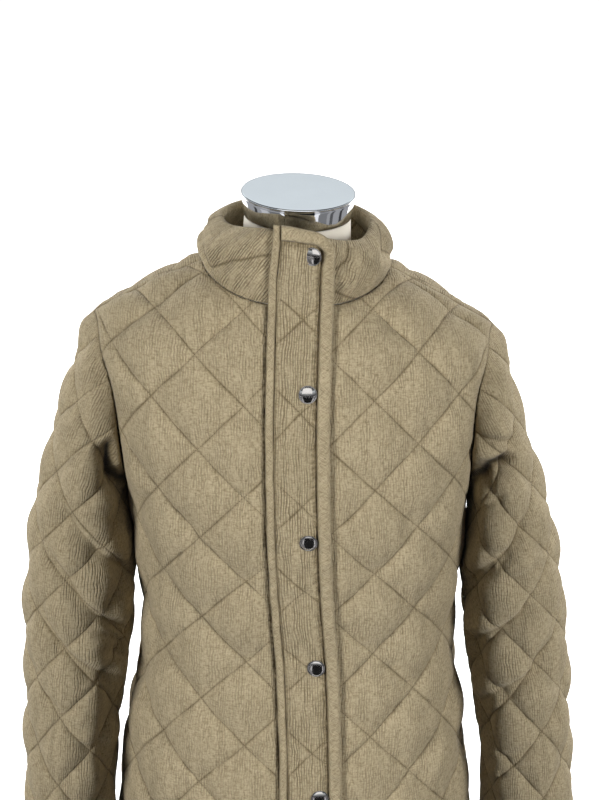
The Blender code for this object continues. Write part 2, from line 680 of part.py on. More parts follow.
def beyond_armhole(points, inward, side):
    """Turns the sleeve's rim so that it never crosses the body's rim at the armhole seam.

    The armhole is an ellipse seen from the side; a direction that points out of it is turned
    back to run along it.
    """
    centre_z, half_height = (UNDERARM_Z + SHOULDER_Z) / 2, (SHOULDER_Z - UNDERARM_Z) / 2
    at_tip = np.array((side, 0, -SHOULDER_SLOPE)) / math.hypot(1, SHOULDER_SLOPE)
    fixed = []
    for p, v in zip(points, inward):
        surface = FRONT if p[1] <= 0 else BACK
        n = surface.normals[np.unravel_index(
            np.argmin(((surface.points - p) ** 2).sum(2)), surface.s.shape)]
        tangent = (0, p[2] - centre_z, -p[1] * (half_height / ARMHOLE_HALF_DEPTH) ** 2)
        into = unit(np.cross(n, tangent))
        if into @ (0, -p[1], centre_z - p[2]) < 0:
            into = -into
        if p[2] > SHOULDER_Z - 0.02:
            into = at_tip
        fixed.append(unit(v - min(v @ into, 0) * into))
    return np.array(fixed)


def neck_ring(phi):
    """The neckline's points (before the lean) at angles from the centre front, positive to +X."""
    ring = np.zeros((len(phi), 3))
    fine = np.linspace(0, math.pi / 2, 61)
    for front in (True, False):
        flat = body_half(front)
        surface = FRONT if front else BACK
        points = surface.sample(flat, neckline(front, 1, 60))
        angle = abs(phi) if front else math.pi - abs(phi)
        here = abs(phi) <= math.pi / 2 if front else abs(phi) > math.pi / 2
        ring[here] = np.stack([np.interp(angle[here], fine, points[:, k]) for k in range(3)], 1)
    ring[:, 0] *= np.sign(phi) + (phi == 0)
    return ring


def collar_point(phi, v, inner=0.0):
    """A point of the collar (before the lean): v climbs from the neck seam to the top edge, and
    inner moves it in from the outer face."""
    base = neck_ring(phi)
    level = np.cos(phi)
    top_y = np.where(level > 0, COLLAR_TOP_FRONT_Y, -COLLAR_TOP_BACK_Y) * level
    front_z, side_z, back_z = COLLAR_TOP_Z
    top_x = COLLAR_TOP_HALF_WIDTH * np.sin(phi)
    top_z = side_z + np.where(level > 0, front_z - side_z, back_z - side_z) * level**2
    top_z = top_z - COLLAR_DROP * ramp(top_x, FLAP_LEFT, FLAP_RIGHT) * ramp(level, 0.0, 0.6)
    top = np.stack((top_x, top_y, top_z), 1)
    radial = np.stack((np.sin(phi), -np.cos(phi), 0 * phi), 1)
    v = np.broadcast_to(v, phi.shape)[:, None]
    inner = np.broadcast_to(inner, phi.shape)[:, None]
    return base + (top - base) * v + radial * (COLLAR_ROLL * 4 * v * (1 - v) - inner)


def collar_phi(x, v):
    """The angle at which the collar's outer face passes a distance x from the middle."""
    phi = np.linspace(-1.2, 1.2, 241)
    return np.interp(x, collar_point(phi, v)[:, 0], phi)


def collar(finish):
    """A padded stand collar: a closed profile carried round the neckline, open at the front."""
    apart = 0.03
    ends = [collar_phi(np.array([edge_s(NECK_TOP_W) + gap]), 0.0)[0] for gap in (GAP, -GAP)]
    quarter = np.linspace(0, math.pi / 2, NECK_STEPS + 1)
    round_neck = np.arange(4 * NECK_STEPS + 1) * quarter[1]
    across_front = -quarter[:0:-1]
    first, last = ends[0], ends[1] + 2 * math.pi
    phi = np.concatenate(([first], across_front[across_front > first + apart],
                          round_neck[round_neck < last - apart], [last]))
    wrapped = np.where(phi > math.pi, phi - 2 * math.pi, phi)
    s = through_arc(wrapped)
    radial = np.stack((np.sin(wrapped), -np.cos(wrapped), 0 * phi), 1)
    beside_flap = ramp(wrapped * NECK_HALF_WIDTH, FLAP_RIGHT + 0.003, FLAP_RIGHT + 0.020)
    beside_strip = ramp((ends[1] - wrapped) * NECK_HALF_WIDTH, 0, 0.020)
    covered = np.where(wrapped > 0, beside_flap, beside_strip)
    rows = []
    for v, inward in COLLAR_PROFILE:
        point = collar_point(wrapped, v, inward)
        if v == 0:
            point[:, 2] += GAP
        if inward == 0 and v > 0:
            swell = math.sin(math.pi * v / 0.93) ** 0.5 * relief(s, COLLAR_HEIGHT * v, *QUILT_COLLAR)
            point = point + radial * (COLLAR_PUFF * swell * covered)[:, None]
        rows.append(settle(point))
    return add("collar", *loft(np.stack(rows, 1)), finish)


def through_arc(phi):
    """Distance walked along the neckline through angles."""
    return np.concatenate(([0], np.cumsum(np.linalg.norm(np.diff(neck_ring(phi), axis=0), axis=1))))


def loft(sections):
    """Points and triangles of a closed profile carried through sections, with flat ends."""
    count, size = sections.shape[:2]
    faces = []
    for a in range(count - 1):
        for b in range(size):
            c = (b + 1) % size
            p, q, r, t = a * size + b, a * size + c, (a + 1) * size + c, (a + 1) * size + b
            faces += [(p, q, r), (p, r, t)]
    faces.append(tuple(range(size)))
    faces.append(tuple(range((count - 1) * size, count * size))[::-1])
    return sections.reshape(-1, 3), faces


def closing_surface():
    """What the strip and the flap lie on: the front's surface, then on up the collar's face."""
    margin = 0.003
    x = np.linspace(FLAP_LEFT - STRIP_WIDTH - margin, FLAP_RIGHT + margin, 33)
    neck = np.concatenate((neckline(True, -1, 80)[::-1], neckline(True, 1, 80)))
    top = np.interp(x, FRONT.sample(FRONT.s, neck), FRONT.sample(FRONT.w, neck))
    w = (np.linspace(0, 1, FRONT_ROWS)[:, None] * top).ravel()
    s = np.tile(x, FRONT_ROWS) + drift(HEM_Z + w)
    below = FRONT.sample(FRONT.points, FRONT.solve((FRONT.s, FRONT.w), np.stack((s, w), 1)))
    rows = list(below.reshape(FRONT_ROWS, len(x), 3))
    for v in np.linspace(0, 0.98, COLLAR_ROWS + 1)[1:]:
        rows.append(settle(collar_point(collar_phi(x + drift(NECK_TOP_W), v), v)))
    points = np.stack(rows)
    blended = slice(FRONT_ROWS - 20, FRONT_ROWS + 4)
    for _ in range(8):
        points[blended] = (points[blended.start - 1:blended.stop - 1] + 2 * points[blended]
                           + points[blended.start + 1:blended.stop + 1]) / 4
    w = along(points, 0).mean(1, keepdims=True)
    s, w = np.broadcast_arrays(x, w)
    return Surface(points, s.copy(), w.copy(), 1)


def raised(surface, s, w, height):
    """Points over a surface at pattern places, and the surface's directions there."""
    at = surface.solve((surface.s, surface.w), np.stack((s, w), 1))
    normals = unit(surface.sample(surface.normals, at))
    return surface.sample(surface.points, at) + normals * height, normals


def band(surface, s, w, profile):
    """Sections of a band that follows a path of pattern places on a surface.

    The profile lists (distance to the right of the path, height) round the band.
    """
    path = np.stack((s, w), 1)
    direction = unit(np.gradient(path, axis=0))
    right = np.stack((direction[:, 1], -direction[:, 0]), 1)
    rings = []
    for offset, height in profile:
        p = path + right * offset
        rings.append(raised(surface, p[:, 0], p[:, 1], height)[0])
    return np.stack(rings, 1)


def closing(finishes):
    """The storm flap, the narrow strip beside it, its binding and its snaps."""
    surface = closing_surface()
    top = surface.w[-1].min() - 0.001
    snaps = snap_places(surface)
    flap(surface, top, snaps, finishes["cloth"])
    strip(surface, top, finishes["cloth"])
    binding(surface, top, finishes["binding"])
    for number, (s, w) in enumerate(snaps, 1):
        points, normals = raised(surface, np.array([s]), np.array([w]), FLAP_LIFT + 1.6 * GAP)
        snap(f"snap_{number}", points[0], normals[0], finishes["snap"])


def flap(surface, top, snaps, finish):
    """The flap, flat under each snap, with a corner nipped off where its binding turns."""
    left, right, notch = FLAP_LEFT + GAP / 2, FLAP_RIGHT - BINDING_WIDTH, 0.004
    high = top - BINDING_WIDTH
    w = counted(0, high - notch, STEP)
    across = counted(left, right - notch, 0.015)[::-1]
    outline = np.concatenate((
        ((left, 0), ((left + right) / 2, 0)),
        np.stack((0 * w + right, w), 1),
        np.stack((across, 0 * across + high), 1),
        np.stack((0 * w + left, w), 1)[:0:-1]))

    def dimples(flat):
        near = np.min([np.hypot(*(flat - place).T) for place in snaps], axis=0)
        return ramp(near, SNAP_RADIUS + STEP, SNAP_RADIUS + 2 * STEP)

    cloth("flap", surface, outline, QUILT_FLAP, finish, dimples, FLAP_LIFT, FLAP_PUFF)


def strip(surface, top, finish):
    """A narrow folded strip from the hem to the collar's top, beside the flap."""
    half, side = STRIP_WIDTH / 2, STRIP_WIDTH / 2 - GAP
    low, shoulder, high = STRIP_HEIGHTS
    profile = ((-half, low), (side, low), (side, shoulder), (half / 2, high), (-half / 2, high),
               (-half, shoulder - 0.0005))
    neck_w = surface.w[FRONT_ROWS - 1].max()
    w = np.concatenate((counted(0, neck_w, STEP)[:-1], counted(neck_w, top, STEP / 2)))
    add("strip", *loft(band(surface, 0 * w + FLAP_LEFT - half, w, profile)), finish)


def binding(surface, top, finish):
    """The bias binding up the flap's free edge, round its corner and along its top."""
    half, low, high, corner = BINDING_WIDTH / 2, FLAP_LIFT - CLOTH, FLAP_LIFT + 0.002, 0.009
    profile = ((-half + GAP, low), (half, low), (half, FLAP_LIFT), (0.6 * half, high),
               (-0.6 * half, high), (-half + GAP, FLAP_LIFT))
    edge, up = FLAP_RIGHT - half, top - half
    w = counted(0, up - corner, STEP)
    turn = np.linspace(0, math.pi / 2, 5)[1:-1]
    across = counted(edge - corner, FLAP_LEFT + 2.5 * GAP, 0.012)
    s_path = np.concatenate((0 * w + edge, edge - corner + corner * np.cos(turn), across))
    w_path = np.concatenate((w, up - corner + corner * np.sin(turn), 0 * across + up))
    add("binding", *loft(band(surface, s_path, w_path, profile)), finish)


def snap_places(surface):
    """The snaps' places in the flap's pattern, from their heights."""
    column = np.argmin(abs(surface.s[0] - SNAP_S))
    z = surface.points[:, column, 2]
    return [(SNAP_S, float(np.interp(height, z, surface.w[:, column]))) for height in SNAP_Z]


def turned(name, profile, steps, finish):
    """A solid turned about Z from a profile of (radius, height) that runs down its outer side."""
    mesh = bpy.data.meshes.new(name)
    points = [(r, 0, z) for r, z in profile]
    mesh.from_pydata(points, [(k, k + 1) for k in range(len(points) - 1)], [])
    mesh.materials.append(finish)
    made = bpy.data.objects.new(name, mesh)
    PART.objects.link(made)
    screw = made.modifiers.new("turn", "SCREW")
    screw.steps = screw.render_steps = steps
    screw.use_merge_vertices = True
    screw.merge_threshold = 0.00001
    screw.use_smooth_shade = True
    return made


def snap(name, place, normal, finish):
    """A press stud's cap: a low dome inside a rounded rim."""
    r = SNAP_RADIUS
    profile = ((0, 0.0030), (r * 0.45, 0.0027), (r * 0.72, 0.0018), (r * 0.80, 0.0022),
               (r * 0.92, 0.0020), (r, 0.0010), (r, 0), (0, 0))
    made = turned(name, profile, 20, finish)
    facing = Vector(normal).to_track_quat("Z", "Y").to_matrix().to_4x4()
    made.matrix_world = Matrix.Translation(Vector(place)) @ facing


# ---- the dress form -------------------------------------------------------------------------

def neck_frame():
    """Where the neck's top is, leaning forward and settled with the shoulders."""
    lean = Matrix.Rotation(NECK_LEAN, 4, "X") @ Matrix.Rotation(TILT, 4, "Y")
    return Matrix.Translation((SHIFT / 5, NECK_Y, NECK_TOP_Z)) @ lean


def torso(finish):
    """The form's body and neck: a closed bag of level sections up to its shoulder line, and a
    leaning neck joined on."""
    last = LOW_ROWS + HIGH_ROWS - 2
    rows = np.concatenate((np.linspace(0, LOW_ROWS - 1, 15), np.linspace(LOW_ROWS - 1, last, 7)[1:]))
    rows = rows.astype(int)
    columns = np.linspace(0, 2 * HALF_COLUMNS - 2, 31).astype(int)
    front = body_half(True, True)[np.ix_(rows, columns)]
    back = body_half(False, True)[np.ix_(rows, columns)][:, -2:0:-1]
    back[-1] = front[-1, -2:0:-1]
    rings = settle(np.concatenate((front, back), 1))
    count, size = rings.shape[:2]
    faces = []
    for a in range(count - 1):
        for b in range(size):
            c = (b + 1) % size
            faces.append((a * size + b, a * size + c, (a + 1) * size + c, (a + 1) * size + b))
    faces.append(tuple(range(size))[::-1])
    body = add("dress_form", rings.reshape(-1, 3), faces, finish)
    bpy.ops.mesh.primitive_cone_add(vertices=40, radius1=NECK_RADIUS + NECK_FLARE,
                                    radius2=NECK_RADIUS, depth=NECK_LENGTH)
    neck = bpy.context.object
    neck.name = "neck_cutter"
    neck.matrix_world = neck_frame() @ Matrix.Translation((0, 0, -NECK_LENGTH / 2))
    for collection in neck.users_collection:
        collection.objects.unlink(neck)
    CUTTERS.objects.link(neck)
    neck.hide_render = True
    neck.display_type = "WIRE"
    join = body.modifiers.new("neck", "BOOLEAN")
    join.operation = "UNION"
    join.object = neck
    join.solver = "MANIFOLD"


def neck_cap(finish):
    """The chrome cap on the neck, with a rounded upper edge."""
    r, h, round_edge, taper = CAP_RADIUS, CAP_HEIGHT, 0.003, 0.0028
    bend = [(r - round_edge + round_edge * math.sin(a), h - round_edge + round_edge * math.cos(a))
            for a in np.linspace(0, math.pi / 2, 4)]
    cap = turned("neck_cap", [(0, h)] + bend + [(r - taper, 0), (0, 0)], 48, finish)
    cap.matrix_world = neck_frame() @ Matrix.Translation((0, 0, GAP))


def pole(finish):
    """The pole between the form and the base."""
    low, high, r = BASE_HEIGHT + GAP, FORM_BOTTOM_Z - GAP, POLE_RADIUS
    turned("pole", ((0, high), (r, high), (r, low), (0, low)), 24, finish)


def base(finish):
    """A round flat base with a softened upper edge."""
    r, h = BASE_RADIUS, BASE_HEIGHT
    profile = ((0, h), (r - 0.006, h), (r - 0.002, h - 0.002), (r, h - 0.006), (r, 0), (0, 0))
    turned("base", profile, 64, finish)


clean_scene()
PART = bpy.data.collections.new("quilted_jacket_on_dress_form")
CUTTERS = bpy.data.collections.new("cutters")
for collection in (PART, CUTTERS):
    bpy.context.scene.collection.children.link(collection)

khaki = material("khaki_quilted_cloth", (0.40, 0.34, 0.22), 0.75)
bias = material("khaki_bias_binding", (0.36, 0.30, 0.19), 0.75)
gunmetal = material("snap_gunmetal", (0.16, 0.16, 0.15), 0.35, 1.0)
jersey = material("cream_jersey", (0.88, 0.83, 0.73), 0.9)
chrome = material("chrome", (0.75, 0.77, 0.79), 0.08, 1.0)
steel = material("satin_steel", (0.60, 0.61, 0.62), 0.35, 1.0)

for wearer_side in (-1, 1):
    front_panel(wearer_side, khaki)
    sleeve(wearer_side, khaki)
back_panel(khaki)
collar(khaki)
closing({"cloth": khaki, "binding": bias, "snap": gunmetal})
torso(jersey)
neck_cap(chrome)
pole(chrome)
base(steel)
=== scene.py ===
"""Looks for the quilted jacket on its dress form.

Each piece of cloth is a surface with a flat pattern on it: s is the distance across from the
centre front or back, and w the distance up from the hem, both in metres. A panel is a grid laid
along the quilting's own stitch lines in that pattern, raised between them, creased where the
cloth folds, and carried onto its surface.
"""
import json
import math
from functools import lru_cache

import bmesh
import bpy
import numpy as np
from mathutils import Matrix, Vector

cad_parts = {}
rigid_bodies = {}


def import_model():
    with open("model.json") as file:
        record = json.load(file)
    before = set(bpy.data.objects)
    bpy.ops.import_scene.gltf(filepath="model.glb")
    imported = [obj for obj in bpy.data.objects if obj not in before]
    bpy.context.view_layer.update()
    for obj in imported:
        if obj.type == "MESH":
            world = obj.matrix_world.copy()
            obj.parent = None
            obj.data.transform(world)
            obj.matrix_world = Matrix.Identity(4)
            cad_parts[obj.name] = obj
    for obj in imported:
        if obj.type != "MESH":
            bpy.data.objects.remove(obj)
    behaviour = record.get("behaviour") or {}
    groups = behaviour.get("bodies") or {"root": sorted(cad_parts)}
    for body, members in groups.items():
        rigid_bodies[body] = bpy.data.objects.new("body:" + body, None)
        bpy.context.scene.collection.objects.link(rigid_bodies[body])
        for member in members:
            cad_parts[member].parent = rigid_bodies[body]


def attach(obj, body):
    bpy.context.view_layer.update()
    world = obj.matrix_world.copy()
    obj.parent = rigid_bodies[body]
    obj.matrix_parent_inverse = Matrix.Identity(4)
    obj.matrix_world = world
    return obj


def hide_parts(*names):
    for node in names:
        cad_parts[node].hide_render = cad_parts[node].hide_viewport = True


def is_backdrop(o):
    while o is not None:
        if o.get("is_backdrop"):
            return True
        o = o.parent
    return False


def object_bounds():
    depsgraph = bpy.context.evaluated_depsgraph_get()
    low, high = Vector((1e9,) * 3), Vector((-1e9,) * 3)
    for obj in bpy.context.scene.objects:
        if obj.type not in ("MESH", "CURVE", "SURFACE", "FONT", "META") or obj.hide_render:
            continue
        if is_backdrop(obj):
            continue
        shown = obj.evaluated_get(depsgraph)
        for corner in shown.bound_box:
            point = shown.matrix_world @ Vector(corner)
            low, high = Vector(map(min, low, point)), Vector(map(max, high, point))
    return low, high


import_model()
CAD_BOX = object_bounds()

# ---- driving sizes, as the solids have them -------------------------------------------------
CLOTH = 0.0025           # the quilted wall at a stitch line
GAP = 0.0003             # what is left open between neighbouring pieces
DIAMOND = 0.0925         # a quilting diamond, corner to corner
SLEEVE_DIAMOND = 0.0775  # the same on the sleeves, where five go round
SLEEVE_COUNT = 5
SLEEVE_HALF = SLEEVE_COUNT * SLEEVE_DIAMOND / 2
PUFF = 0.008             # a diamond's middle over its stitch lines
SLEEVE_PUFF = 0.0070
FULLNESS = 0.62          # below 1, so that a puff rises steeply and is broad on top
UNEVEN_PUFFS = 0.22      # how much fuller or flatter one diamond is than the next
PINCH = 0.0011           # how far the stitches pucker the cloth beside them
STRAY = 0.0011           # how far a stitch line strays from straight
SEAM_DIP = 0.0011        # how far the cloth is drawn down at a seam
STITCH_SHADE_HALF_WIDTH = 0.0015   # half the width of the shade painted along a stitch line
STITCH_PITCH = 0.0034    # from one stitch of the quilting to the next
STITCH_LIFT = 0.0001     # the threads lie this far over the cloth
THREAD_RADIUS = 0.0003
DEEP_CREASE = 0.009      # a crease this deep gets quite dark painted shade inside
CREASE_LIP = 0.40        # the cloth beside a crease swells by this share of its depth
CREASE_STOP = 0.0045     # creases run out this close to a seam

# heights between which the puffs that face each other, on a sleeve and on the body's side, are
# pressed flatter, and by how much: at the cuff going down, the others going up
CUFF_SQUEEZE = (0.36, 0.40, 0.50)
BODY_SQUEEZE = ((0.44, 0.50, 0.40), (0.57, 0.64, 0.35))
SLEEVE_SQUEEZE = ((0.44, 0.50, 0.15), (0.57, 0.64, 0.50))
MOST_SQUEEZED = 0.85
# there they touch, from the first two heights to the last two, and swell by this much
TOUCH_START = (0.535, 0.575)
TOUCH_END = (0.638, 0.656)
BODY_SWELL = 0.0012
LEFT_SWELL = 0.0022
RIGHT_SWELL = 0.0030
RIGHT_BULGE = (0.0020, 0.617, 0.018)   # and more round one height: how much, where, how broad

# where a stitch line's crossing lies in each piece's pattern (across, up)
QUILT_RIGHT = (-0.0535, 0.0485)
QUILT_LEFT = (0.077, 0.0551)
QUILT_BACK = (0.0, 0.05)
QUILT_SLEEVE = {-1: (-0.006, 0.0216), 1: (0.002, 0.0050)}
QUILT_FLAP = (0.004, 0.043)

# the body and its seams
HEM_Z = 0.275
YOKE_Z = 0.800           # above this, the front and back curve over to the shoulder seams
SHOULDER_X = 0.203
SHOULDER_Z = 0.842
SHOULDER_SLOPE = 0.545
NECK_ROUNDING = 0.035
SQUARENESS = 2.35        # of the body's level sections: 2 would be an ellipse
TILT = 0.035             # the shoulders climb towards -X by this share
SHIFT = -0.005           # and lie this far towards it
NECK_SHARE = 0.4         # the neck takes this share of the shift
SWAY = -0.0045           # the hem hangs this far towards -X
YOKE_FULLNESS = (1.25, 1.0)
UNDERARM_Z = 0.665
ARMHOLE_HALF_DEPTH = 0.055
NECK_HALF_WIDTH = 0.0935
NECK_FRONT_Y = -0.0800
NECK_BACK_Y = 0.072
NECK_SQUARENESS = 2.35
NECK_Z = 0.87            # about where the neckline's front lies
CLOSING_NECK_Z = 0.90    # and the height at which the closing passes it

# body sections: z, half width, depth in front, depth behind
BODY_ROWS = np.array((
    (HEM_Z, 0.190, 0.132, 0.124),
    (0.345, 0.184, 0.129, 0.121),
    (0.405, 0.175, 0.124, 0.112),
    (0.455, 0.166, 0.119, 0.102),
    (0.510, 0.162, 0.117, 0.097),
    (0.592, 0.168, 0.123, 0.101),
    (0.662, 0.176, 0.128, 0.107),
    (0.725, 0.190, 0.123, 0.107),
    (YOKE_Z, SHOULDER_X, 0.108, 0.099)))

# sleeve sections: outer x and z, inner x and z, half depth, middle y, and how much further
# out the right sleeve hangs than the left
SLEEVE_ROWS = np.array((
    (0.2890, 0.245, 0.1985, 0.250, 0.0530, -0.030, 0.0000),
    (0.2900, 0.330, 0.1970, 0.335, 0.0545, -0.024, 0.0000),
    (0.2865, 0.405, 0.1920, 0.405, 0.0560, -0.018, 0.0020),
    (0.2835, 0.480, 0.1805, 0.475, 0.0580, -0.013, 0.0050),
    (0.2785, 0.550, 0.1745, 0.530, 0.0605, -0.010, 0.0110),
    (0.2670, 0.625, 0.1755, 0.575, 0.0610, -0.008, 0.0150),
    (0.2515, 0.684, 0.1775, 0.606, 0.0610, -0.006, 0.0150),
    (0.2340, 0.745, 0.1800, 0.630, 0.0600, -0.004, 0.0110),
    (0.2180, 0.800, 0.1790, 0.650, 0.0580, -0.002, 0.0050),
    (SHOULDER_X, SHOULDER_Z, 0.1765, UNDERARM_Z, ARMHOLE_HALF_DEPTH, 0.000, 0.0000)))

# the collar
COLLAR_TOP_HALF_WIDTH = 0.080
COLLAR_TOP_FRONT_Y = -0.084
COLLAR_TOP_BACK_Y = 0.068
COLLAR_TOP_Z = (0.960, 0.947, 0.952)  # in front, at the sides, behind
COLLAR_SAG = 0.0026      # the worn collar's front edge sinks by this
COLLAR_DROP = 0.0105     # and by this more towards its left end
COLLAR_HEIGHT = 0.07
COLLAR_PUFF = 0.0052
COLLAR_ROLL = 0.0055

# the closing: the flap's edges lie at these distances across it
FLAP_LEFT = -0.0225
FLAP_RIGHT = 0.0325
STRIP_WIDTH = 0.0085
BINDING_WIDTH = 0.0128
FLAP_LIFT = 0.0050       # the flap's face over the front that it covers
FLAP_PUFF = 0.0040
# how far the closing wanders across, by height
FLAP_DRIFT = np.array((
    (0.275, 0.0175), (0.40, 0.0145), (0.47, 0.0105), (0.60, 0.0015),
    (0.73, -0.0010), (0.88, 0.0030), (0.97, 0.0045)))
CLOSING_REACH = 1.06     # the closing goes this far up the collar, and over its edge
STRIP_LEAN = 0.0050      # and its strip leans in by this much at the top
BINDING_CORNER = 0.0150  # the binding turns its corner on this radius
SNAP_Z = (0.932, 0.797, 0.649, 0.505, 0.360)
SNAP_S = 0.0101          # the snaps' place across the flap
SNAP_RADIUS = 0.0092
SNAP_RIM = 0.0012        # the height of its rim, and of the dome over that
SNAP_DOME = 0.0022

# the dress form and its stand
FORM_BOTTOM_Z = 0.205
FORM_EASE = 0.0053       # the form lies this far inside the shoulders, so that it shows nowhere
# the form's sections, as the body's
FORM_ROWS = np.array((
    (FORM_BOTTOM_Z, 0.150, 0.098, 0.094),
    (0.245, 0.158, 0.104, 0.103),
    (0.345, 0.158, 0.104, 0.104),
    (0.455, 0.136, 0.092, 0.082),
    (0.510, 0.130, 0.090, 0.076),
    (0.592, 0.138, 0.098, 0.080),
    (0.662, 0.152, 0.112, 0.090),
    (0.725, 0.170, 0.108, 0.096),
    (YOKE_Z, 0.193, 0.100, 0.092)))
NECK_RADIUS = 0.053
NECK_FLARE = 0.006
NECK_LENGTH = 0.10
NECK_Y = -0.008
NECK_TOP_Z = 0.950
NECK_LEAN = math.radians(3.6)  # forward
CAP_RADIUS = 0.057
CAP_HEIGHT = 0.0245
BASE_RADIUS = 0.172
BASE_HEIGHT = 0.015
POLE_RADIUS = 0.0125

# how finely things are divided
LOW_ROWS = 88
HIGH_ROWS = 34
HALF_COLUMNS = 56
MIDDLE = HALF_COLUMNS - 1  # the column of the body's centre line
SLEEVE_GRID = (90, 96)
FRONT_ROWS = 110
COLLAR_ROWS = 14
OUTLINE_STEP = 0.004
FAR = 9.0                  # further than anything lies
PART_SIZE = 2000           # points worked out at a time
COARSE = 3                 # a place is first looked for among every third grid point
NEWTON_STEPS = 9
SLOPE_STEP = 1e-3
BLENDED_ROWS = (20, 4)     # below and above the neckline, where the closing is smoothed
BLEND_PASSES = 8
# half a stitch line's spacing, divided more finely towards the line
HALF_CELL = np.array((0, 0.012, 0.03, 0.055, 0.09, 0.13, 0.18, 0.235, 0.30, 0.365, 0.43, 0.5))


# ---- small tools ----------------------------------------------------------------------------
def through(knots, values, x):
    """A smooth curve through a table: cubic between rows, sloped as the neighbours are."""
    x = np.asarray(x, float)
    slope = np.gradient(values, knots)
    i = np.clip(np.searchsorted(knots, x, side="right") - 1, 0, len(knots) - 2)
    h = knots[i + 1] - knots[i]
    u = (x - knots[i]) / h
    return ((2 * u**3 - 3 * u**2 + 1) * values[i] + (u**3 - 2 * u**2 + u) * h * slope[i]
            + (3 * u**2 - 2 * u**3) * values[i + 1] + (u**3 - u**2) * h * slope[i + 1])


def ramp(x, low, high):
    """0 below low, 1 above high, and smooth between."""
    u = np.clip((x - low) / (high - low), 0, 1)
    return u * u * (3 - 2 * u)


def bell(x, width):
    """1 at 0, falling off either way as exp(-(x / width)^2)."""
    return np.exp(-(x / width) ** 2)


def noise(x, y, seed):
    """Smooth uneven heights from -1 to 1: values at whole numbers, eased between them."""
    i, j = np.floor(x), np.floor(y)
    u, v = x - i, y - j
    u, v = u * u * u * (u * (6 * u - 15) + 10), v * v * v * (v * (6 * v - 15) + 10)

    def corner(a, b):
        """The value at a whole place: what is left of a large sine after its whole part."""
        t = np.sin(a * 12.9898 + b * 78.233 + seed * 37.719) * 43758.5453
        return 2 * (t - np.floor(t)) - 1

    low = corner(i, j) * (1 - u) + corner(i + 1, j) * u
    high = corner(i, j + 1) * (1 - u) + corner(i + 1, j + 1) * u
    return low * (1 - v) + high * v


def unit(v):
    """Directions made one long."""
    return v / np.maximum(np.linalg.norm(v, axis=-1, keepdims=True), 1e-12)


def along(points, axis):
    """The distance walked along a grid's axis, from its first row."""
    d = np.linalg.norm(np.diff(points, axis=axis), axis=-1)
    return np.concatenate((np.zeros_like(np.take(d, [0], axis)), np.cumsum(d, axis)), axis)


def in_parts(points):
    """Whole arrays of points, a part at a time, so that they fit in memory."""
    return np.array_split(points, max(1, len(points) // PART_SIZE))


def counted(start, stop, step):
    """Places from start to stop, evenly spaced at about a step."""
    return np.linspace(start, stop, max(2, int(round(abs(stop - start) / step)) + 1))


def settle(points):
    """The jacket's lean: its upper half sits higher towards -X, and moves that way."""
    points = np.array(points, float)
    k = ramp(points[..., 2], 0.62, 0.86)
    from_neck = ramp(abs(points[..., 0]), 0.06, 0.16)
    points[..., 2] -= TILT * points[..., 0] * k
    points[..., 0] += SHIFT * k * (NECK_SHARE + (1 - NECK_SHARE) * from_neck)
    return points


def sway(points):
    """The body's hem hangs a little towards -X."""
    points[..., 0] += SWAY * (1 - ramp(points[..., 2], 0.34, 0.54))
    return points


# ---- surfaces with their patterns -----------------------------------------------------------
def catmull(u):
    """Catmull and Rom's cubic shares of four neighbours, at a fraction past the second."""
    return (0.5 * (-u + 2 * u**2 - u**3), 0.5 * (2 - 5 * u**2 + 3 * u**3),
            0.5 * (u + 4 * u**2 - 3 * u**3), 0.5 * (u**3 - u**2))


def extended(field, i, j):
    """A grid's value, carried straight on for one row past each edge."""
    rows, cols = field.shape[:2]
    ii, jj = np.clip(i, 0, rows - 1), np.clip(j, 0, cols - 1)
    value = field[ii, jj]
    mirror_i = np.clip(2 * ii - i, 0, rows - 1)
    mirror_j = np.clip(2 * jj - j, 0, cols - 1)
    return value + (field[ii, jj] - field[mirror_i, jj]) + (field[ii, jj] - field[ii, mirror_j])


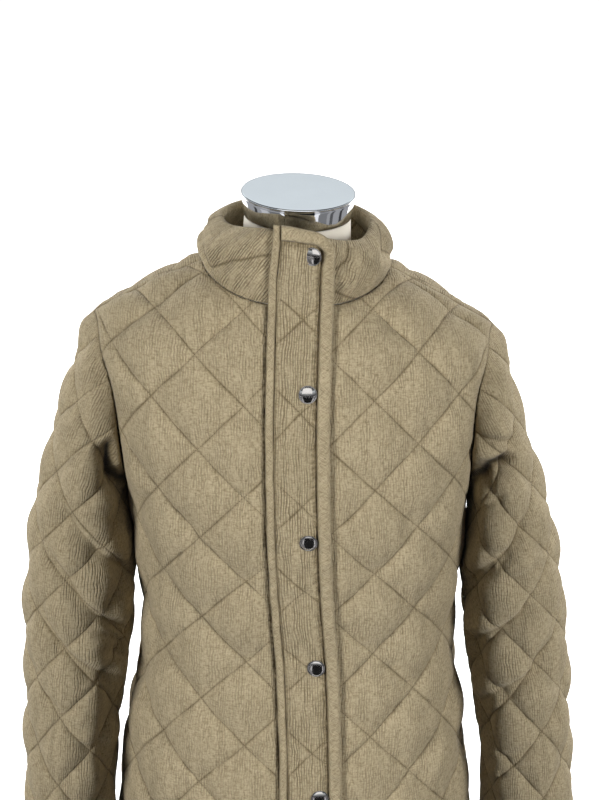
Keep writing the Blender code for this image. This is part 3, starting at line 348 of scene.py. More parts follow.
class Surface:
    """A grid of points with its outward normals, and its flat pattern (s across, w up)."""

    def __init__(self, points, s, w, outward):
        self.points, self.s, self.w = points, s, w
        across = np.gradient(points, axis=1, edge_order=2)
        up = np.gradient(points, axis=0, edge_order=2)
        self.normals = unit(np.cross(across, up)) * outward

    def sample(self, field, at):
        """A field at fractional (row, column) places, cubic each way."""
        rows, cols = field.shape[:2]
        r = np.clip(at[:, 0], 0, rows - 1)
        c = np.clip(at[:, 1], 0, cols - 1)
        i = np.clip(r.astype(int), 0, rows - 2)
        j = np.clip(c.astype(int), 0, cols - 2)
        total = 0
        for di, wi in zip((-1, 0, 1, 2), catmull(r - i)):
            for dj, wj in zip((-1, 0, 1, 2), catmull(c - j)):
                value = extended(field, i + di, j + dj)
                total = total + value * (wi * wj).reshape((-1,) + (1,) * (field.ndim - 2))
        return total

    def solve(self, fields, wanted):
        """The (row, column) where two fields have the wanted values: the nearest of the coarse
        grid points, then Newton's steps."""
        wanted = np.asarray(wanted, float)
        coarse = [f[::COARSE, ::COARSE] for f in fields]
        flat = np.stack([f.ravel() for f in coarse], 1)
        start = np.concatenate([
            np.argmin(((flat[None] - part[:, None]) ** 2).sum(2), 1) for part in in_parts(wanted)])
        at = float(COARSE) * np.stack(np.unravel_index(start, coarse[0].shape), 1)
        limit = np.array(fields[0].shape) - 1.0
        for _ in range(NEWTON_STEPS):
            value = np.stack([self.sample(f, at) for f in fields], 1)
            slopes = []
            for k in range(2):
                low, high = at.copy(), at.copy()
                low[:, k] = np.clip(at[:, k] - SLOPE_STEP, 0, limit[k])
                high[:, k] = np.clip(at[:, k] + SLOPE_STEP, 0, limit[k])
                change = np.stack([self.sample(f, high) - self.sample(f, low) for f in fields], 1)
                slopes.append(change / (high - low)[:, k:k + 1])
            a, b = slopes
            e = wanted - value
            det = a[:, 0] * b[:, 1] - a[:, 1] * b[:, 0]
            det = np.where(abs(det) < 1e-12, 1e-12, det)
            move = np.stack((e[:, 0] * b[:, 1] - e[:, 1] * b[:, 0],
                             a[:, 0] * e[:, 1] - a[:, 1] * e[:, 0]), 1) / det[:, None]
            at = np.clip(at + np.clip(move, -2, 2), 0, limit)
        return at

    def flat(self, at):
        """The pattern places (s, w) of (row, column) places."""
        return np.stack((self.sample(self.s, at), self.sample(self.w, at)), 1)


def shoulder_line(x):
    """Height of the shoulder seam: a straight slope, rounded off where it passes the neck."""
    reach = np.sqrt(SHOULDER_X**2 + NECK_ROUNDING**2)
    return SHOULDER_Z + SHOULDER_SLOPE * (reach - np.sqrt(x**2 + NECK_ROUNDING**2))


@lru_cache(None)
def body_half(front, form=False):
    """Front or back of the body, from side to side: quarter superellipses spaced evenly by arc
    length, and above the yoke a curve from each of their points over to the shoulder line."""
    rows, ease = (FORM_ROWS, FORM_EASE) if form else (BODY_ROWS, 0.0)
    facing = -1 if front else 1
    z = np.linspace(rows[0, 0], rows[-1, 0], LOW_ROWS)
    half = through(rows[:, 0], rows[:, 1], z)
    depth = through(rows[:, 0], rows[:, 2 if front else 3], z)
    phi = np.linspace(0, math.pi / 2, 241)
    x = half[:, None] * np.sin(phi) ** (2 / SQUARENESS)
    y = depth[:, None] * np.cos(phi) ** (2 / SQUARENESS) * facing
    walked = along(np.stack((x, y), 2), 1)
    share = np.linspace(0, 1, HALF_COLUMNS)
    lower = np.stack([
        np.stack((np.interp(share * t[-1], t, a), np.interp(share * t[-1], t, b), 0 * share + level), 1)
        for t, a, b, level in zip(walked, x, y, z)])
    start = lower[-1]
    leave = (lower[-1] - lower[-2]) / (z[-1] - z[-2]) * YOKE_FULLNESS[0]
    arrive = np.stack((0 * share, -facing + 0 * share, 0 * share), 1) * YOKE_FULLNESS[1]
    end = np.stack((start[:, 0], 0 * share, shoulder_line(start[:, 0]) - ease), 1)
    span = np.linalg.norm(end - start, axis=1)[:, None]
    u = np.linspace(0, 1, HIGH_ROWS)[1:, None, None]
    upper = ((2 * u**3 - 3 * u**2 + 1) * start + (u**3 - 2 * u**2 + u) * leave * span
             + (3 * u**2 - 2 * u**3) * end + (u**3 - u**2) * arrive * span)
    quarter = np.concatenate((lower, upper), 0)
    mirrored = quarter[:, :0:-1] * np.array((-1, 1, 1))
    return np.concatenate((mirrored, quarter), 1)


def body_surface(front):
    """The worn front or back: s is walked from its centre line and w up from the hem."""
    points = body_half(front)
    s = along(points, 1)
    s = s - s[:, MIDDLE:MIDDLE + 1]
    return Surface(sway(settle(points)), s, along(points, 0), 1 if front else -1)


FRONT = body_surface(True)
BACK = body_surface(False)


def on_shoulder(surface, x):
    """(row, column) on the shoulder line at distances x from the middle (before the lean)."""
    top = body_half(surface is FRONT)[-1, :, 0]
    column = np.interp(x, top, np.arange(len(top)))
    return np.stack((np.full(len(x), len(surface.points) - 1.0), column), 1)


def on_half(front, side, axes, wanted):
    """(row, column from the middle) on one side of the body, where it (before the lean) has the
    wanted values along two axes."""
    half = body_half(front)[:, MIDDLE:] if side > 0 else body_half(front)[:, MIDDLE::-1]
    surface = FRONT if front else BACK
    return surface.solve([half[..., k] for k in axes], np.stack(wanted, 1))


@lru_cache(None)
def armhole(front, side):
    """Places along half an armhole, from the underarm to the shoulder tip: half an ellipse
    seen from the side."""
    q = np.linspace(0, 1, 49)
    facing = -1 if front else 1
    z = UNDERARM_Z + (SHOULDER_Z - UNDERARM_Z) * (1 - np.cos(math.pi * q)) / 2
    y = facing * ARMHOLE_HALF_DEPTH * np.sin(math.pi * q)
    at = on_half(front, side, (1, 2), (y, z))
    at[0, 1] = MIDDLE
    at[-1] = (len(body_half(front)) - 1, MIDDLE)
    at[:, 1] = MIDDLE + side * at[:, 1]
    return at


@lru_cache(None)
def neckline(front, side):
    """Places along a quarter of the neckline, a superellipse seen from above, from the middle
    to the shoulder."""
    phi = np.linspace(0, math.pi / 2, 61)
    x = side * NECK_HALF_WIDTH * np.sin(phi) ** (2 / NECK_SQUARENESS)
    y = (NECK_FRONT_Y if front else NECK_BACK_Y) * np.cos(phi) ** (2 / NECK_SQUARENESS)
    at = on_half(front, side, (0, 1), (x, y))
    at[0, 1] = 0
    at[-1, 0] = len(body_half(front)) - 1
    at[:, 1] = MIDDLE + side * at[:, 1]
    return at


def armhole_ring(side, theta):
    """The armhole's points (before the lean) at angles from the underarm over the front and back."""
    ring = np.zeros((len(theta), 3))
    for front in (True, False):
        surface = FRONT if front else BACK
        points = surface.sample(body_half(front), armhole(front, side))
        here = theta <= 0 if front else theta > 0
        q = 1 - abs(theta[here]) / math.pi
        share = np.linspace(0, 1, len(points))
        ring[here] = np.stack([np.interp(q, share, points[:, k]) for k in range(3)], 1)
    return ring


@lru_cache(None)
def sleeve_surface(side):
    """A sleeve as a tube, cuff to armhole: each ring spans its outer and inner points, and the
    last ring is the armhole itself. Columns run from the underarm over the front to the back."""
    rows, columns = SLEEVE_GRID
    theta = np.linspace(-math.pi, math.pi, columns + 1)
    mid = (SLEEVE_ROWS[:, 0:2] + SLEEVE_ROWS[:, 2:4]) / 2
    knots = np.concatenate(([0], np.cumsum(np.linalg.norm(np.diff(mid, axis=0), axis=1))))
    t = np.linspace(0, knots[-1], rows)
    outer_x, outer_z, inner_x, inner_z, depth, middle_y, swing = (
        through(knots, SLEEVE_ROWS[:, k], t)[:, None] for k in range(SLEEVE_ROWS.shape[1]))
    outer_x = outer_x - side * swing / 2
    up, across = (1 + np.cos(theta)) / 2, np.sin(theta)
    x = inner_x + (outer_x - inner_x) * up
    z = inner_z + (outer_z - inner_z) * up
    y = middle_y + depth * across
    points = np.stack((side * x, y, z), 2)
    seam = armhole_ring(side, theta)
    blend = ramp(t, knots[-1] - 0.075, knots[-1])[:, None, None]
    points = settle(points + (seam - points[-1]) * blend)
    s = np.broadcast_to(theta / math.pi * SLEEVE_HALF, points.shape[:2]).copy()
    return Surface(points, s, along(points, 0), side)


def neck_ring(phi):
    """The neckline's points (before the lean) at angles from the centre front, positive to +X."""
    ring = np.zeros((len(phi), 3))
    for front in (True, False):
        surface = FRONT if front else BACK
        points = surface.sample(body_half(front), neckline(front, 1))
        angle = abs(phi) if front else math.pi - abs(phi)
        here = abs(phi) <= math.pi / 2 if front else abs(phi) > math.pi / 2
        fine = np.linspace(0, math.pi / 2, len(points))
        ring[here] = np.stack([np.interp(angle[here], fine, points[:, k]) for k in range(3)], 1)
    ring[:, 0] *= np.sign(phi) + (phi == 0)
    return ring


def radial(angle):
    """Level directions away from the neck, at angles from the centre front."""
    return np.stack((np.sin(angle), -np.cos(angle), 0 * angle), 1)


def collar_point(phi, v, inner=0.0):
    """A point of the collar (before the lean): v climbs from the neck seam to the top edge, and
    inner moves it in from the outer face."""
    base = neck_ring(phi)
    level = np.cos(phi)
    top_y = np.where(level > 0, COLLAR_TOP_FRONT_Y, -COLLAR_TOP_BACK_Y) * level
    front_z, side_z, back_z = COLLAR_TOP_Z
    top_x = COLLAR_TOP_HALF_WIDTH * np.sin(phi)
    top_z = side_z + np.where(level > 0, front_z - side_z, back_z - side_z) * level**2
    lower = COLLAR_SAG + COLLAR_DROP * ramp(top_x, FLAP_LEFT, 0.055)
    top_z = top_z - lower * ramp(level, 0.0, 0.6)
    top = np.stack((top_x, top_y, top_z), 1)
    v = np.broadcast_to(v, phi.shape)[:, None]
    inner = np.broadcast_to(inner, phi.shape)[:, None]
    return base + (top - base) * v + radial(phi) * (COLLAR_ROLL * 4 * v * (1 - v) - inner)


def collar_phi(x, v):
    """The angle at which the collar's outer face passes a distance x from the middle."""
    phi = np.linspace(-1.2, 1.2, 241)
    return np.interp(x, collar_point(phi, v)[:, 0], phi)


def drift(z):
    """How far the closing wanders across at a height."""
    return through(FLAP_DRIFT[:, 0], FLAP_DRIFT[:, 1], z)


def edge_s(z):
    """Where the fronts meet, under the strip, at a height."""
    return FLAP_LEFT - STRIP_WIDTH + drift(z)


def closing_surface():
    """What the strip and the flap lie on: the front's surface, then on up the collar's face."""
    margin = 0.003
    x = np.linspace(FLAP_LEFT - STRIP_WIDTH - margin, FLAP_RIGHT + margin, 33)
    neck = np.concatenate((neckline(True, -1)[::-1], neckline(True, 1)))
    top = np.interp(x, FRONT.sample(FRONT.s, neck), FRONT.sample(FRONT.w, neck))
    w = (np.linspace(0, 1, FRONT_ROWS)[:, None] * top).ravel()
    s = np.tile(x, FRONT_ROWS) + drift(HEM_Z + w)
    below = FRONT.sample(FRONT.points, FRONT.solve((FRONT.s, FRONT.w), np.stack((s, w), 1)))
    rows = list(below.reshape(FRONT_ROWS, len(x), 3))
    beside = (FLAP_RIGHT - x) / (FLAP_RIGHT - FLAP_LEFT)
    for v in np.linspace(0, CLOSING_REACH, COLLAR_ROWS + 1)[1:]:
        leaning = x + drift(CLOSING_NECK_Z) + STRIP_LEAN * ramp(v, 0.2, 1.0) * beside
        rows.append(settle(collar_point(collar_phi(leaning, v), v)))
    points = np.stack(rows)
    first, last = FRONT_ROWS - BLENDED_ROWS[0], FRONT_ROWS + BLENDED_ROWS[1]
    for _ in range(BLEND_PASSES):
        points[first:last] = (points[first - 1:last - 1] + 2 * points[first:last]
                              + points[first + 1:last + 1]) / 4
    w = along(points, 0).mean(1, keepdims=True)
    s, w = np.broadcast_arrays(x, w)
    return Surface(points, s.copy(), w.copy(), 1)


CLOSING = closing_surface()
CLOSING_TOP = CLOSING.w[-1].min() - 0.001


# ---- meshes ---------------------------------------------------------------------------------
def piece(name, points, faces, finish, uv=None, groove=None, smooth=True):
    """A piece of the scene from whole arrays: its points, its faces (all of one size), a UV map
    in metres and how much shade is painted on each point along stitch lines, seams and creases."""
    mesh = bpy.data.meshes.new(name)
    count, size = faces.shape
    mesh.vertices.add(len(points))
    mesh.vertices.foreach_set("co", np.ascontiguousarray(points, np.float32).ravel())
    mesh.loops.add(count * size)
    mesh.loops.foreach_set("vertex_index", np.ascontiguousarray(faces, np.int32).ravel())
    mesh.polygons.add(count)
    mesh.polygons.foreach_set("loop_start", np.arange(0, count * size, size, dtype=np.int32))
    mesh.polygons.foreach_set("use_smooth", np.full(count, smooth))
    if uv is not None:
        layer = mesh.uv_layers.new(name="pattern")
        layer.data.foreach_set("uv", np.asarray(uv, np.float32)[faces.ravel()].ravel())
    mesh.update(calc_edges=True)
    # the shade painted at each point is kept in an attribute that the cloth's finish reads
    if groove is not None:
        depth = mesh.attributes.new("groove", "FLOAT", "POINT")
        depth.data.foreach_set("value", np.ascontiguousarray(groove, np.float32))
    mesh.materials.append(finish)
    made = bpy.data.objects.new(name, mesh)
    bpy.context.scene.collection.objects.link(made)
    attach(made, "root")
    return made


def grid_faces(rows, columns, round_columns=False):
    """Quads between the points of a grid, closed round from its last column to its first."""
    index = np.arange(rows * columns).reshape(rows, columns)
    if round_columns:
        index = np.concatenate((index, index[:, :1]), 1)
    return np.stack((index[:-1, :-1], index[:-1, 1:], index[1:, 1:], index[1:, :-1]), 2).reshape(-1, 4)


def closed_tube(points, rows, size):
    """The points and faces of a tube of rings, with a fan round the middle of each end."""
    count = rows * size
    middle = points.reshape(rows, size, 3)[[0, -1]].mean(1)
    k = np.arange(size)
    low = np.stack((k, (k + 1) % size, np.full(size, count), np.full(size, count)), 1)
    high = low + np.array((count - size, count - size, 1, 1))
    faces = np.concatenate((grid_faces(rows, size, round_columns=True), low, high))
    return np.concatenate((points, middle)), faces


def facing_out(points, faces, normals):
    """The faces, turned round if most of them face against the points' normals."""
    a, b, c = (points[faces[:, k]] for k in range(3))
    against = (np.cross(b - a, c - a) * normals[faces[:, 0]]).sum()
    return faces[:, ::-1] if against < 0 else faces


def thicken(made, thickness):
    """Gives a single layer its thickness, inwards."""
    wall = made.modifiers.new("cloth", "SOLIDIFY")
    wall.thickness = thickness
    wall.offset = -1
    wall.use_rim = True
    wall.use_even_offset = False
    return made


def inside(points, outline):
    """Which points lie in a polygon, by counting the edges that a ray crosses."""
    ax, ay = outline[:, 0], outline[:, 1]
    bx, by = np.roll(ax, -1), np.roll(ay, -1)
    slope = (bx - ax) / np.where(by == ay, 1e-12, by - ay)
    found = []
    for part in in_parts(points):
        x, y = part[:, 0, None], part[:, 1, None]
        found.append((((ay > y) != (by > y)) & (x < ax + (y - ay) * slope)).sum(1) % 2 == 1)
    return np.concatenate(found)


def nearest_edge(points, outline):
    """Each point's distance from a closed outline, the nearest place on it, and how far round
    the outline that place is."""
    d = np.roll(outline, -1, 0) - outline
    length = np.hypot(*d.T)
    walked = np.concatenate(([0], np.cumsum(length)))
    away, place, round_it = [], [], []
    for part in in_parts(points):
        u = ((part[:, None] - outline) * d).sum(2) / np.maximum(length**2, 1e-15)
        u = np.clip(u, 0, 1)
        near = outline + u[..., None] * d
        gap = np.hypot(*(part[:, None] - near).transpose(2, 0, 1))
        k = gap.argmin(1)
        row = np.arange(len(part))
        away.append(gap[row, k])
        place.append(near[row, k])
        round_it.append(walked[k] + u[row, k] * length[k])
    return np.concatenate(away), np.concatenate(place), np.concatenate(round_it)


def inset(outline, distance):
    """A closed outline moved inwards by a distance."""
    before = unit(outline - np.roll(outline, 1, 0))
    after = unit(np.roll(outline, -1, 0) - outline)
    left_before = np.stack((-before[:, 1], before[:, 0]), 1)
    left_after = np.stack((-after[:, 1], after[:, 0]), 1)
    bisector = left_before + left_after
    scale = distance / np.maximum((bisector * left_after).sum(1), 0.2)
    return outline + bisector * scale[:, None]


def from_path(flat, path):
    """Distance from a path of pattern places, positive to its left, and the share of it walked
    to the nearest place."""
    path = np.asarray(path, float)
    walked = along(path[:, None], 0)[:, 0]
    away, share = np.full(len(flat), FAR), np.zeros(len(flat))
    for start, run, before in zip(path[:-1], np.diff(path, axis=0), walked[:-1]):
        length = math.hypot(*run)
        from_start = flat - start
        u = np.clip((from_start @ run) / length**2, 0, 1)
        gap = np.hypot(*(from_start - u[:, None] * run).T)
        left = np.where(run[0] * from_start[:, 1] < run[1] * from_start[:, 0], -1.0, 1.0)
        closer = gap < abs(away)
        away = np.where(closer, gap * left, away)
        share = np.where(closer, (before + u * length) / walked[-1], share)
    return away, share


def trough(flat, folds):
    """Heights of creases, and how much shade is painted inside them, more than 1 being darker than
    the shade painted at a stitch line. Each has a width, a depth and a path in the pattern. A crease
    is a bell of its width across the path, steep towards the lip that swells over it on the left,
    slack on the right, and runs out at its ends. One of negative depth is a ridge."""
    height, dark = np.zeros(len(flat)), np.zeros(len(flat))
    for width, depth, *path in folds:
        low, high = np.min(path, 0) - 5 * width, np.max(path, 0) + 5 * width
        near = (flat > low).all(1) & (flat < high).all(1)
        away, share = from_path(flat[near], path)
        ends = ramp(share, 0.0, 0.2) * (1 - ramp(share, 0.8, 1.0))
        dip = bell(away, width * np.where(away > 0, 0.8, 2.0))
        lip = bell(away - 2.6 * width, 2.2 * width) * (depth > 0)
        height[near] += depth * ends * (CREASE_LIP * lip - dip)
        # shade painted inside a crease, darker the deeper it is
        deep = min(max(depth, 0.001) / DEEP_CREASE, 1.7)
        within = ends * deep * bell(away, 0.5 * deep * width) * (depth > 0)
        dark[near] = np.maximum(dark[near], within)
    return height, dark


class Panel:
    """One cut piece of quilted cloth: an outline in a surface's pattern, filled with a grid
    that runs along the stitch lines.

    p = (ds + dw) / diamond and q = (ds - dw) / diamond are whole numbers on the two families of
    stitch lines, ds and dw being distances from a crossing. The height of the cloth is
    puff * |sin(pi p) sin(pi q)| ^ FULLNESS, less towards the outline, with fine pinches
    across each stitch line, slow waves, and the creases of a table.
    """

    def __init__(self, surface, outline, quilt, seed, diamond=DIAMOND, puff=PUFF, folds=(),
                 channels=(), cover=None, lift=0.0, wave=0.0013, fade=0.011, quilt_top=FAR):
        """quilt is a crossing of stitch lines and quilt_top the height at which they stop. folds
        are creases, channels rows of stitches, cover what presses the puffs flat, lift the
        height of it all over the surface, and fade how near its edge the puffs run out."""
        self.surface, self.quilt, self.seed, self.diamond = surface, quilt, seed, diamond
        self.outline = inset(outline, GAP / 2)
        self.puff, self.folds, self.cover, self.lift = puff, folds, cover, lift
        self.wave, self.fade, self.channels, self.quilt_top = wave, fade, channels, quilt_top

    def uneven(self, x, y, number):
        """The panel's own noise, a different one for each number."""
        return noise(x, y, self.seed + number)

    def waver(self, flat):
        """How far the stitch lines stray from straight."""
        s, w = flat[..., 0] / 0.030, flat[..., 1] / 0.034
        return STRAY * np.stack((self.uneven(s, w, 20), self.uneven(s, w, 21)), -1)

    def lines(self, flat):
        """p and q at pattern places."""
        ds, dw = (flat - self.waver(flat) - self.quilt).T
        return (ds + dw) / self.diamond, (ds - dw) / self.diamond

    def flat(self, p, q):
        """The pattern places of p and q."""
        straight = np.stack((self.quilt[0] + self.diamond * (p + q) / 2,
                             self.quilt[1] + self.diamond * (p - q) / 2), -1)
        return straight + self.waver(straight)

    def quilted(self, flat):
        """The puffs, with pinches beside the stitch lines, and shade painted in the grooves they lie in.
        Above quilt_top the cloth is plain."""
        p, q = self.lines(flat)
        plain = ramp(flat[:, 1], self.quilt_top - 0.004, self.quilt_top + 0.006)
        puff = self.puff * np.abs(np.sin(math.pi * p) * np.sin(math.pi * q)) ** FULLNESS
        swell = 1 + UNEVEN_PUFFS * self.uneven(np.floor(p) + 0.5, np.floor(q) + 0.5, 0)
        height = puff * swell * (1 - plain) + 0.6 * self.puff * plain
        groove = np.zeros(len(flat))
        side = self.diamond / math.sqrt(2)
        for across, beside, turn in ((p, q, 1), (q, p, 2)):
            line = np.round(across)
            from_line = abs(across - line) * side
            step = beside * side
            fine = self.uneven(step / 0.0062, line * 3.7, turn)
            broad = self.uneven(step / 0.017, line * 5.1, turn + 4)
            height += PINCH * (0.7 * fine + broad) * bell(from_line - 0.004, 0.0065) * (1 - plain)
            # shade painted along each stitch line, stronger in some places than in others
            line_shade_strength = 0.62 + 0.38 * self.uneven(step / 0.012, line * 2.3, turn + 14)
            groove = np.maximum(groove, line_shade_strength * bell(from_line, STITCH_SHADE_HALF_WIDTH) * (1 - plain))
        return height, groove

    def height(self, flat, away, round_it):
        """Height over the surface, and how much shade is painted, at pattern places. The quilting,
        slow waves and gathers along the seams fade out at the edge. Creases, the dip at the
        seams and the channels come on top of that, with shade painted along each."""
        height, groove = self.quilted(flat)
        # shade painted along the seams at the panel's edge
        groove = np.maximum(groove, 0.8 * bell(away, 0.0016))
        s, w = flat.T
        height += self.wave * (self.uneven(s / 0.047, w / 0.055, 8)
                               + 0.4 * self.uneven(s / 0.019, w / 0.03, 9))
        height += 0.0008 * self.uneven(round_it / 0.0075, 0 * away, 10) * bell(away - 0.005, 0.006)
        height += 0.0009 * self.uneven(round_it / 0.019, 0 * away, 11) * bell(away - 0.007, 0.009)
        height *= 1 - bell(away, self.fade)
        if self.cover is not None:
            height *= self.cover(flat)
        creased, dark = trough(flat, self.folds)
        height += creased * (1 - bell(away, CREASE_STOP))
        # the creases' painted shade
        groove = np.maximum(groove, dark)
        height -= SEAM_DIP * bell(away, 0.0024)
        for path in self.channels:
            from_it, share = from_path(flat, path)
            fine = self.uneven(share * len(path) * 1.3, 0 * share, 12)
            height -= 0.0007 * bell(from_it, 0.0011) - 0.0003 * fine * bell(from_it - 0.003, 0.0020)
            # shade painted along the channel's stitches
            groove = np.maximum(groove, 0.9 * bell(from_it, 0.0010))
        return height, groove

    def place(self, flat, above=0.0):
        """Points and normals at pattern places, and how much shade is painted on them."""
        surface = self.surface
        at = surface.solve((surface.s, surface.w), flat)
        points = surface.sample(surface.points, at)
        normals = unit(surface.sample(surface.normals, at))
        away, _, round_it = nearest_edge(flat, self.outline)
        height, groove = self.height(flat, away, round_it)
        share, swell = self.beside(points, normals)
        height = height * share + swell
        return points + normals * (self.lift + above + height)[:, None], normals, groove

    def beside(self, points, normals):
        """The share of the puff that is left where a sleeve and the body's side lie close
        together, and how far both swell where they come to touch."""
        if self.surface is CLOSING:
            return 1.0, 0.0
        x, z = points[:, 0], points[:, 2]
        if self.surface in (FRONT, BACK):
            sideways, rises, swell = abs(normals[:, 0]), BODY_SQUEEZE, BODY_SWELL
        else:
            more, where, width = RIGHT_BULGE
            sideways, rises = -normals[:, 0] * np.sign(x), SLEEVE_SQUEEZE
            swell = np.where(x < 0, RIGHT_SWELL + more * bell(z - where, width), LEFT_SWELL)
        low, high, share = CUFF_SQUEEZE
        squeezed = share * (1 - ramp(z, low, high))
        for low, high, share in rises:
            squeezed += share * ramp(z, low, high)
        facing = ramp(sideways, 0.70, 0.95)
        touching = ramp(z, *TOUCH_START) * (1 - ramp(z, *TOUCH_END))
        return 1 - MOST_SQUEEZED * facing * squeezed, swell * facing * touching

    def knots(self, values):
        """The grid's lines: whole numbers of stitch lines, each cell divided like the next."""
        cell = np.concatenate((HALF_CELL, 1 - HALF_CELL[-2:0:-1]))
        whole = np.arange(math.floor(values.min()), math.ceil(values.max()))
        return np.append((whole[:, None] + cell).ravel(), whole[-1] + 1.0)

    def build(self, name, finish):
        """The panel's mesh. Grid points beyond the outline move to the nearest place on it,
        and one goes to each of its corners."""
        p, q = self.lines(self.outline)
        p, q = np.meshgrid(self.knots(p), self.knots(q), indexing="ij")
        flat = self.flat(p.ravel(), q.ravel())
        within = inside(flat, self.outline)
        faces = grid_faces(*p.shape)
        faces = faces[within[faces].any(1)]
        used, faces = np.unique(faces, return_inverse=True)
        faces = faces.reshape(-1, 4)
        flat, within = flat[used], within[used]
        flat[~within] = nearest_edge(flat[~within], self.outline)[1]
        ahead = unit(np.roll(self.outline, -1, 0) - self.outline)
        turn = (ahead * np.roll(ahead, 1, 0)).sum(1)
        edge = np.flatnonzero(~within)
        for corner in self.outline[turn < 0.9]:
            flat[edge[np.argmin(np.hypot(*(flat[edge] - corner).T))]] = corner
        points, normals, groove = self.place(flat)
        faces = facing_out(points, faces, normals)
        made = piece(name, points, faces, finish, flat, groove)
        return thicken(made, CLOTH)

    def size(self):
        """Width, length and area of the cut."""
        width, length = np.ptp(self.outline, axis=0)
        x, y = self.outline.T
        return (float(width), float(length)), float(abs(x @ np.roll(y, -1) - y @ np.roll(x, -1)) / 2)

    def seams(self):
        """Where the quilting's stitches lie: pairs of pattern places, along every stitch line."""
        p, q = self.lines(self.outline)
        step = STITCH_PITCH / (self.diamond / math.sqrt(2))
        half = 0.38 * step
        starts, ends = [], []
        for first, second, swap in ((p, q, False), (q, p, True)):
            line = np.arange(math.ceil(first.min()), math.floor(first.max()) + 1)
            t = np.arange(second.min(), second.max(), step)
            line, t = (g.ravel() for g in np.meshgrid(line, t))
            for run, offset in ((starts, -half), (ends, half)):
                pair = (t + offset, line) if swap else (line, t + offset)
                run.append(self.flat(*pair))
        starts, ends = np.concatenate(starts), np.concatenate(ends)
        middle = (starts + ends) / 2
        good = inside(middle, self.outline)
        starts, ends, middle = starts[good], ends[good], middle[good]
        good = (nearest_edge(middle, self.outline)[0] > 0.003) & (middle[:, 1] < self.quilt_top)
        starts, ends = [starts[good]], [ends[good]]
        for path in self.channels:
            for run, more in zip((starts, ends), row_of(np.asarray(path))):
                run.append(more)
        return np.concatenate(starts), np.concatenate(ends)


def threads(name, starts, ends, normals, finish, radius=THREAD_RADIUS):
    """Stitches as slim eight-sided needles from their starts to their ends."""
    along_it = ends - starts
    side = unit(np.cross(normals, along_it)) * radius
    middle, up = (starts + ends) / 2, normals * radius * 0.8
    points = np.stack((starts, middle + side, middle + up, middle - side, middle - up, ends), 1)
    needle = np.array(((0, 2, 1), (0, 3, 2), (0, 4, 3), (0, 1, 4),
                       (5, 1, 2), (5, 2, 3), (5, 3, 4), (5, 4, 1)))
    faces = (needle + 6 * np.arange(len(starts))[:, None, None]).reshape(-1, 3)
    return piece(name, points.reshape(-1, 3), faces, finish, smooth=False)


def quilting(name, panel, finish):
    """A panel's stitches."""
    starts, ends = panel.seams()
    a, normals, _ = panel.place(starts, STITCH_LIFT)
    b, _, _ = panel.place(ends, STITCH_LIFT)
    return threads(name, a, b, normals, finish)


def row_of(path, pitch=0.0032, share=0.72):
    """A row of stitches along a path of pattern places."""
    walked = along(path[:, None], 0)[:, 0]
    t = np.arange(0, walked[-1] - pitch, pitch)
    at = [np.stack([np.interp(t + offset, walked, path[:, k]) for k in (0, 1)], 1)
          for offset in (0, pitch * share)]
    return at[0], at[1]


# ---- cutting out ----------------------------------------------------------------------------
def joined(*chains):
    """One closed outline from chains of pattern places, without doubled points."""
    points = np.concatenate(chains)
    return points[np.hypot(*(points - np.roll(points, 1, 0)).T) > 1e-5]


def body_chains(surface, side):
    """Side seam, half armhole and shoulder seam of a body panel, going up."""
    front = surface is FRONT
    column = MIDDLE + side * MIDDLE
    side_w = surface.w[:, column]
    rows = np.arange(len(side_w))
    top = np.interp(UNDERARM_Z, body_half(front)[:LOW_ROWS, column, 2], rows[:LOW_ROWS])
    w = counted(0, np.interp(top, rows, side_w), OUTLINE_STEP)
    seam = np.stack((np.interp(w, side_w, rows), np.full(len(w), float(column))), 1)
    hole = armhole(front, side)
    shoulder = on_shoulder(surface, side * np.linspace(SHOULDER_X, NECK_HALF_WIDTH, 28))
    shoulder[0] = hole[-1]
    return [surface.flat(chain) for chain in (seam, hole, shoulder)]


def neck_from(side, start):
    """A front's neckline from the shoulder down to where it crosses s = start."""
    whole = np.concatenate((FRONT.flat(neckline(True, -1))[::-1], FRONT.flat(neckline(True, 1))[1:]))
    if side < 0:
        whole = whole[::-1]
    keep = side * whole[:, 0] > side * start
    order = np.argsort(whole[:, 0])
    crossing = (start, np.interp(start, whole[order, 0], whole[order, 1]))
    return np.concatenate(([crossing], whole[keep]))[::-1]


def front_outline(side):
    """A front: its hem, side seam, armhole, shoulder, neckline and closing edge."""
    seam, hole, shoulder = body_chains(FRONT, side)
    neck = neck_from(side, edge_s(NECK_Z))
    w = counted(neck[-1, 1], 0, OUTLINE_STEP)
    closing_edge = np.stack((edge_s(HEM_Z + w), w), 1)
    closing_edge[0] = neck[-1]
    hem_s = counted(closing_edge[-1, 0], FRONT.s[0, -1] * side, OUTLINE_STEP)
    outline = joined(np.stack((hem_s, 0 * hem_s), 1), seam, hole, shoulder, neck, closing_edge)
    return outline if side > 0 else outline[::-1]


def back_outline():
    """The back, whole: up one side, along the neckline, down the other side and along the hem."""
    chains = list(body_chains(BACK, 1)) + [BACK.flat(neckline(False, 1))[::-1],
                                           BACK.flat(neckline(False, -1))]
    chains += [chain[::-1] for chain in reversed(body_chains(BACK, -1))]
    hem_s = counted(BACK.s[0, 0], BACK.s[0, -1], OUTLINE_STEP)
    return joined(*chains, np.stack((hem_s, 0 * hem_s), 1))


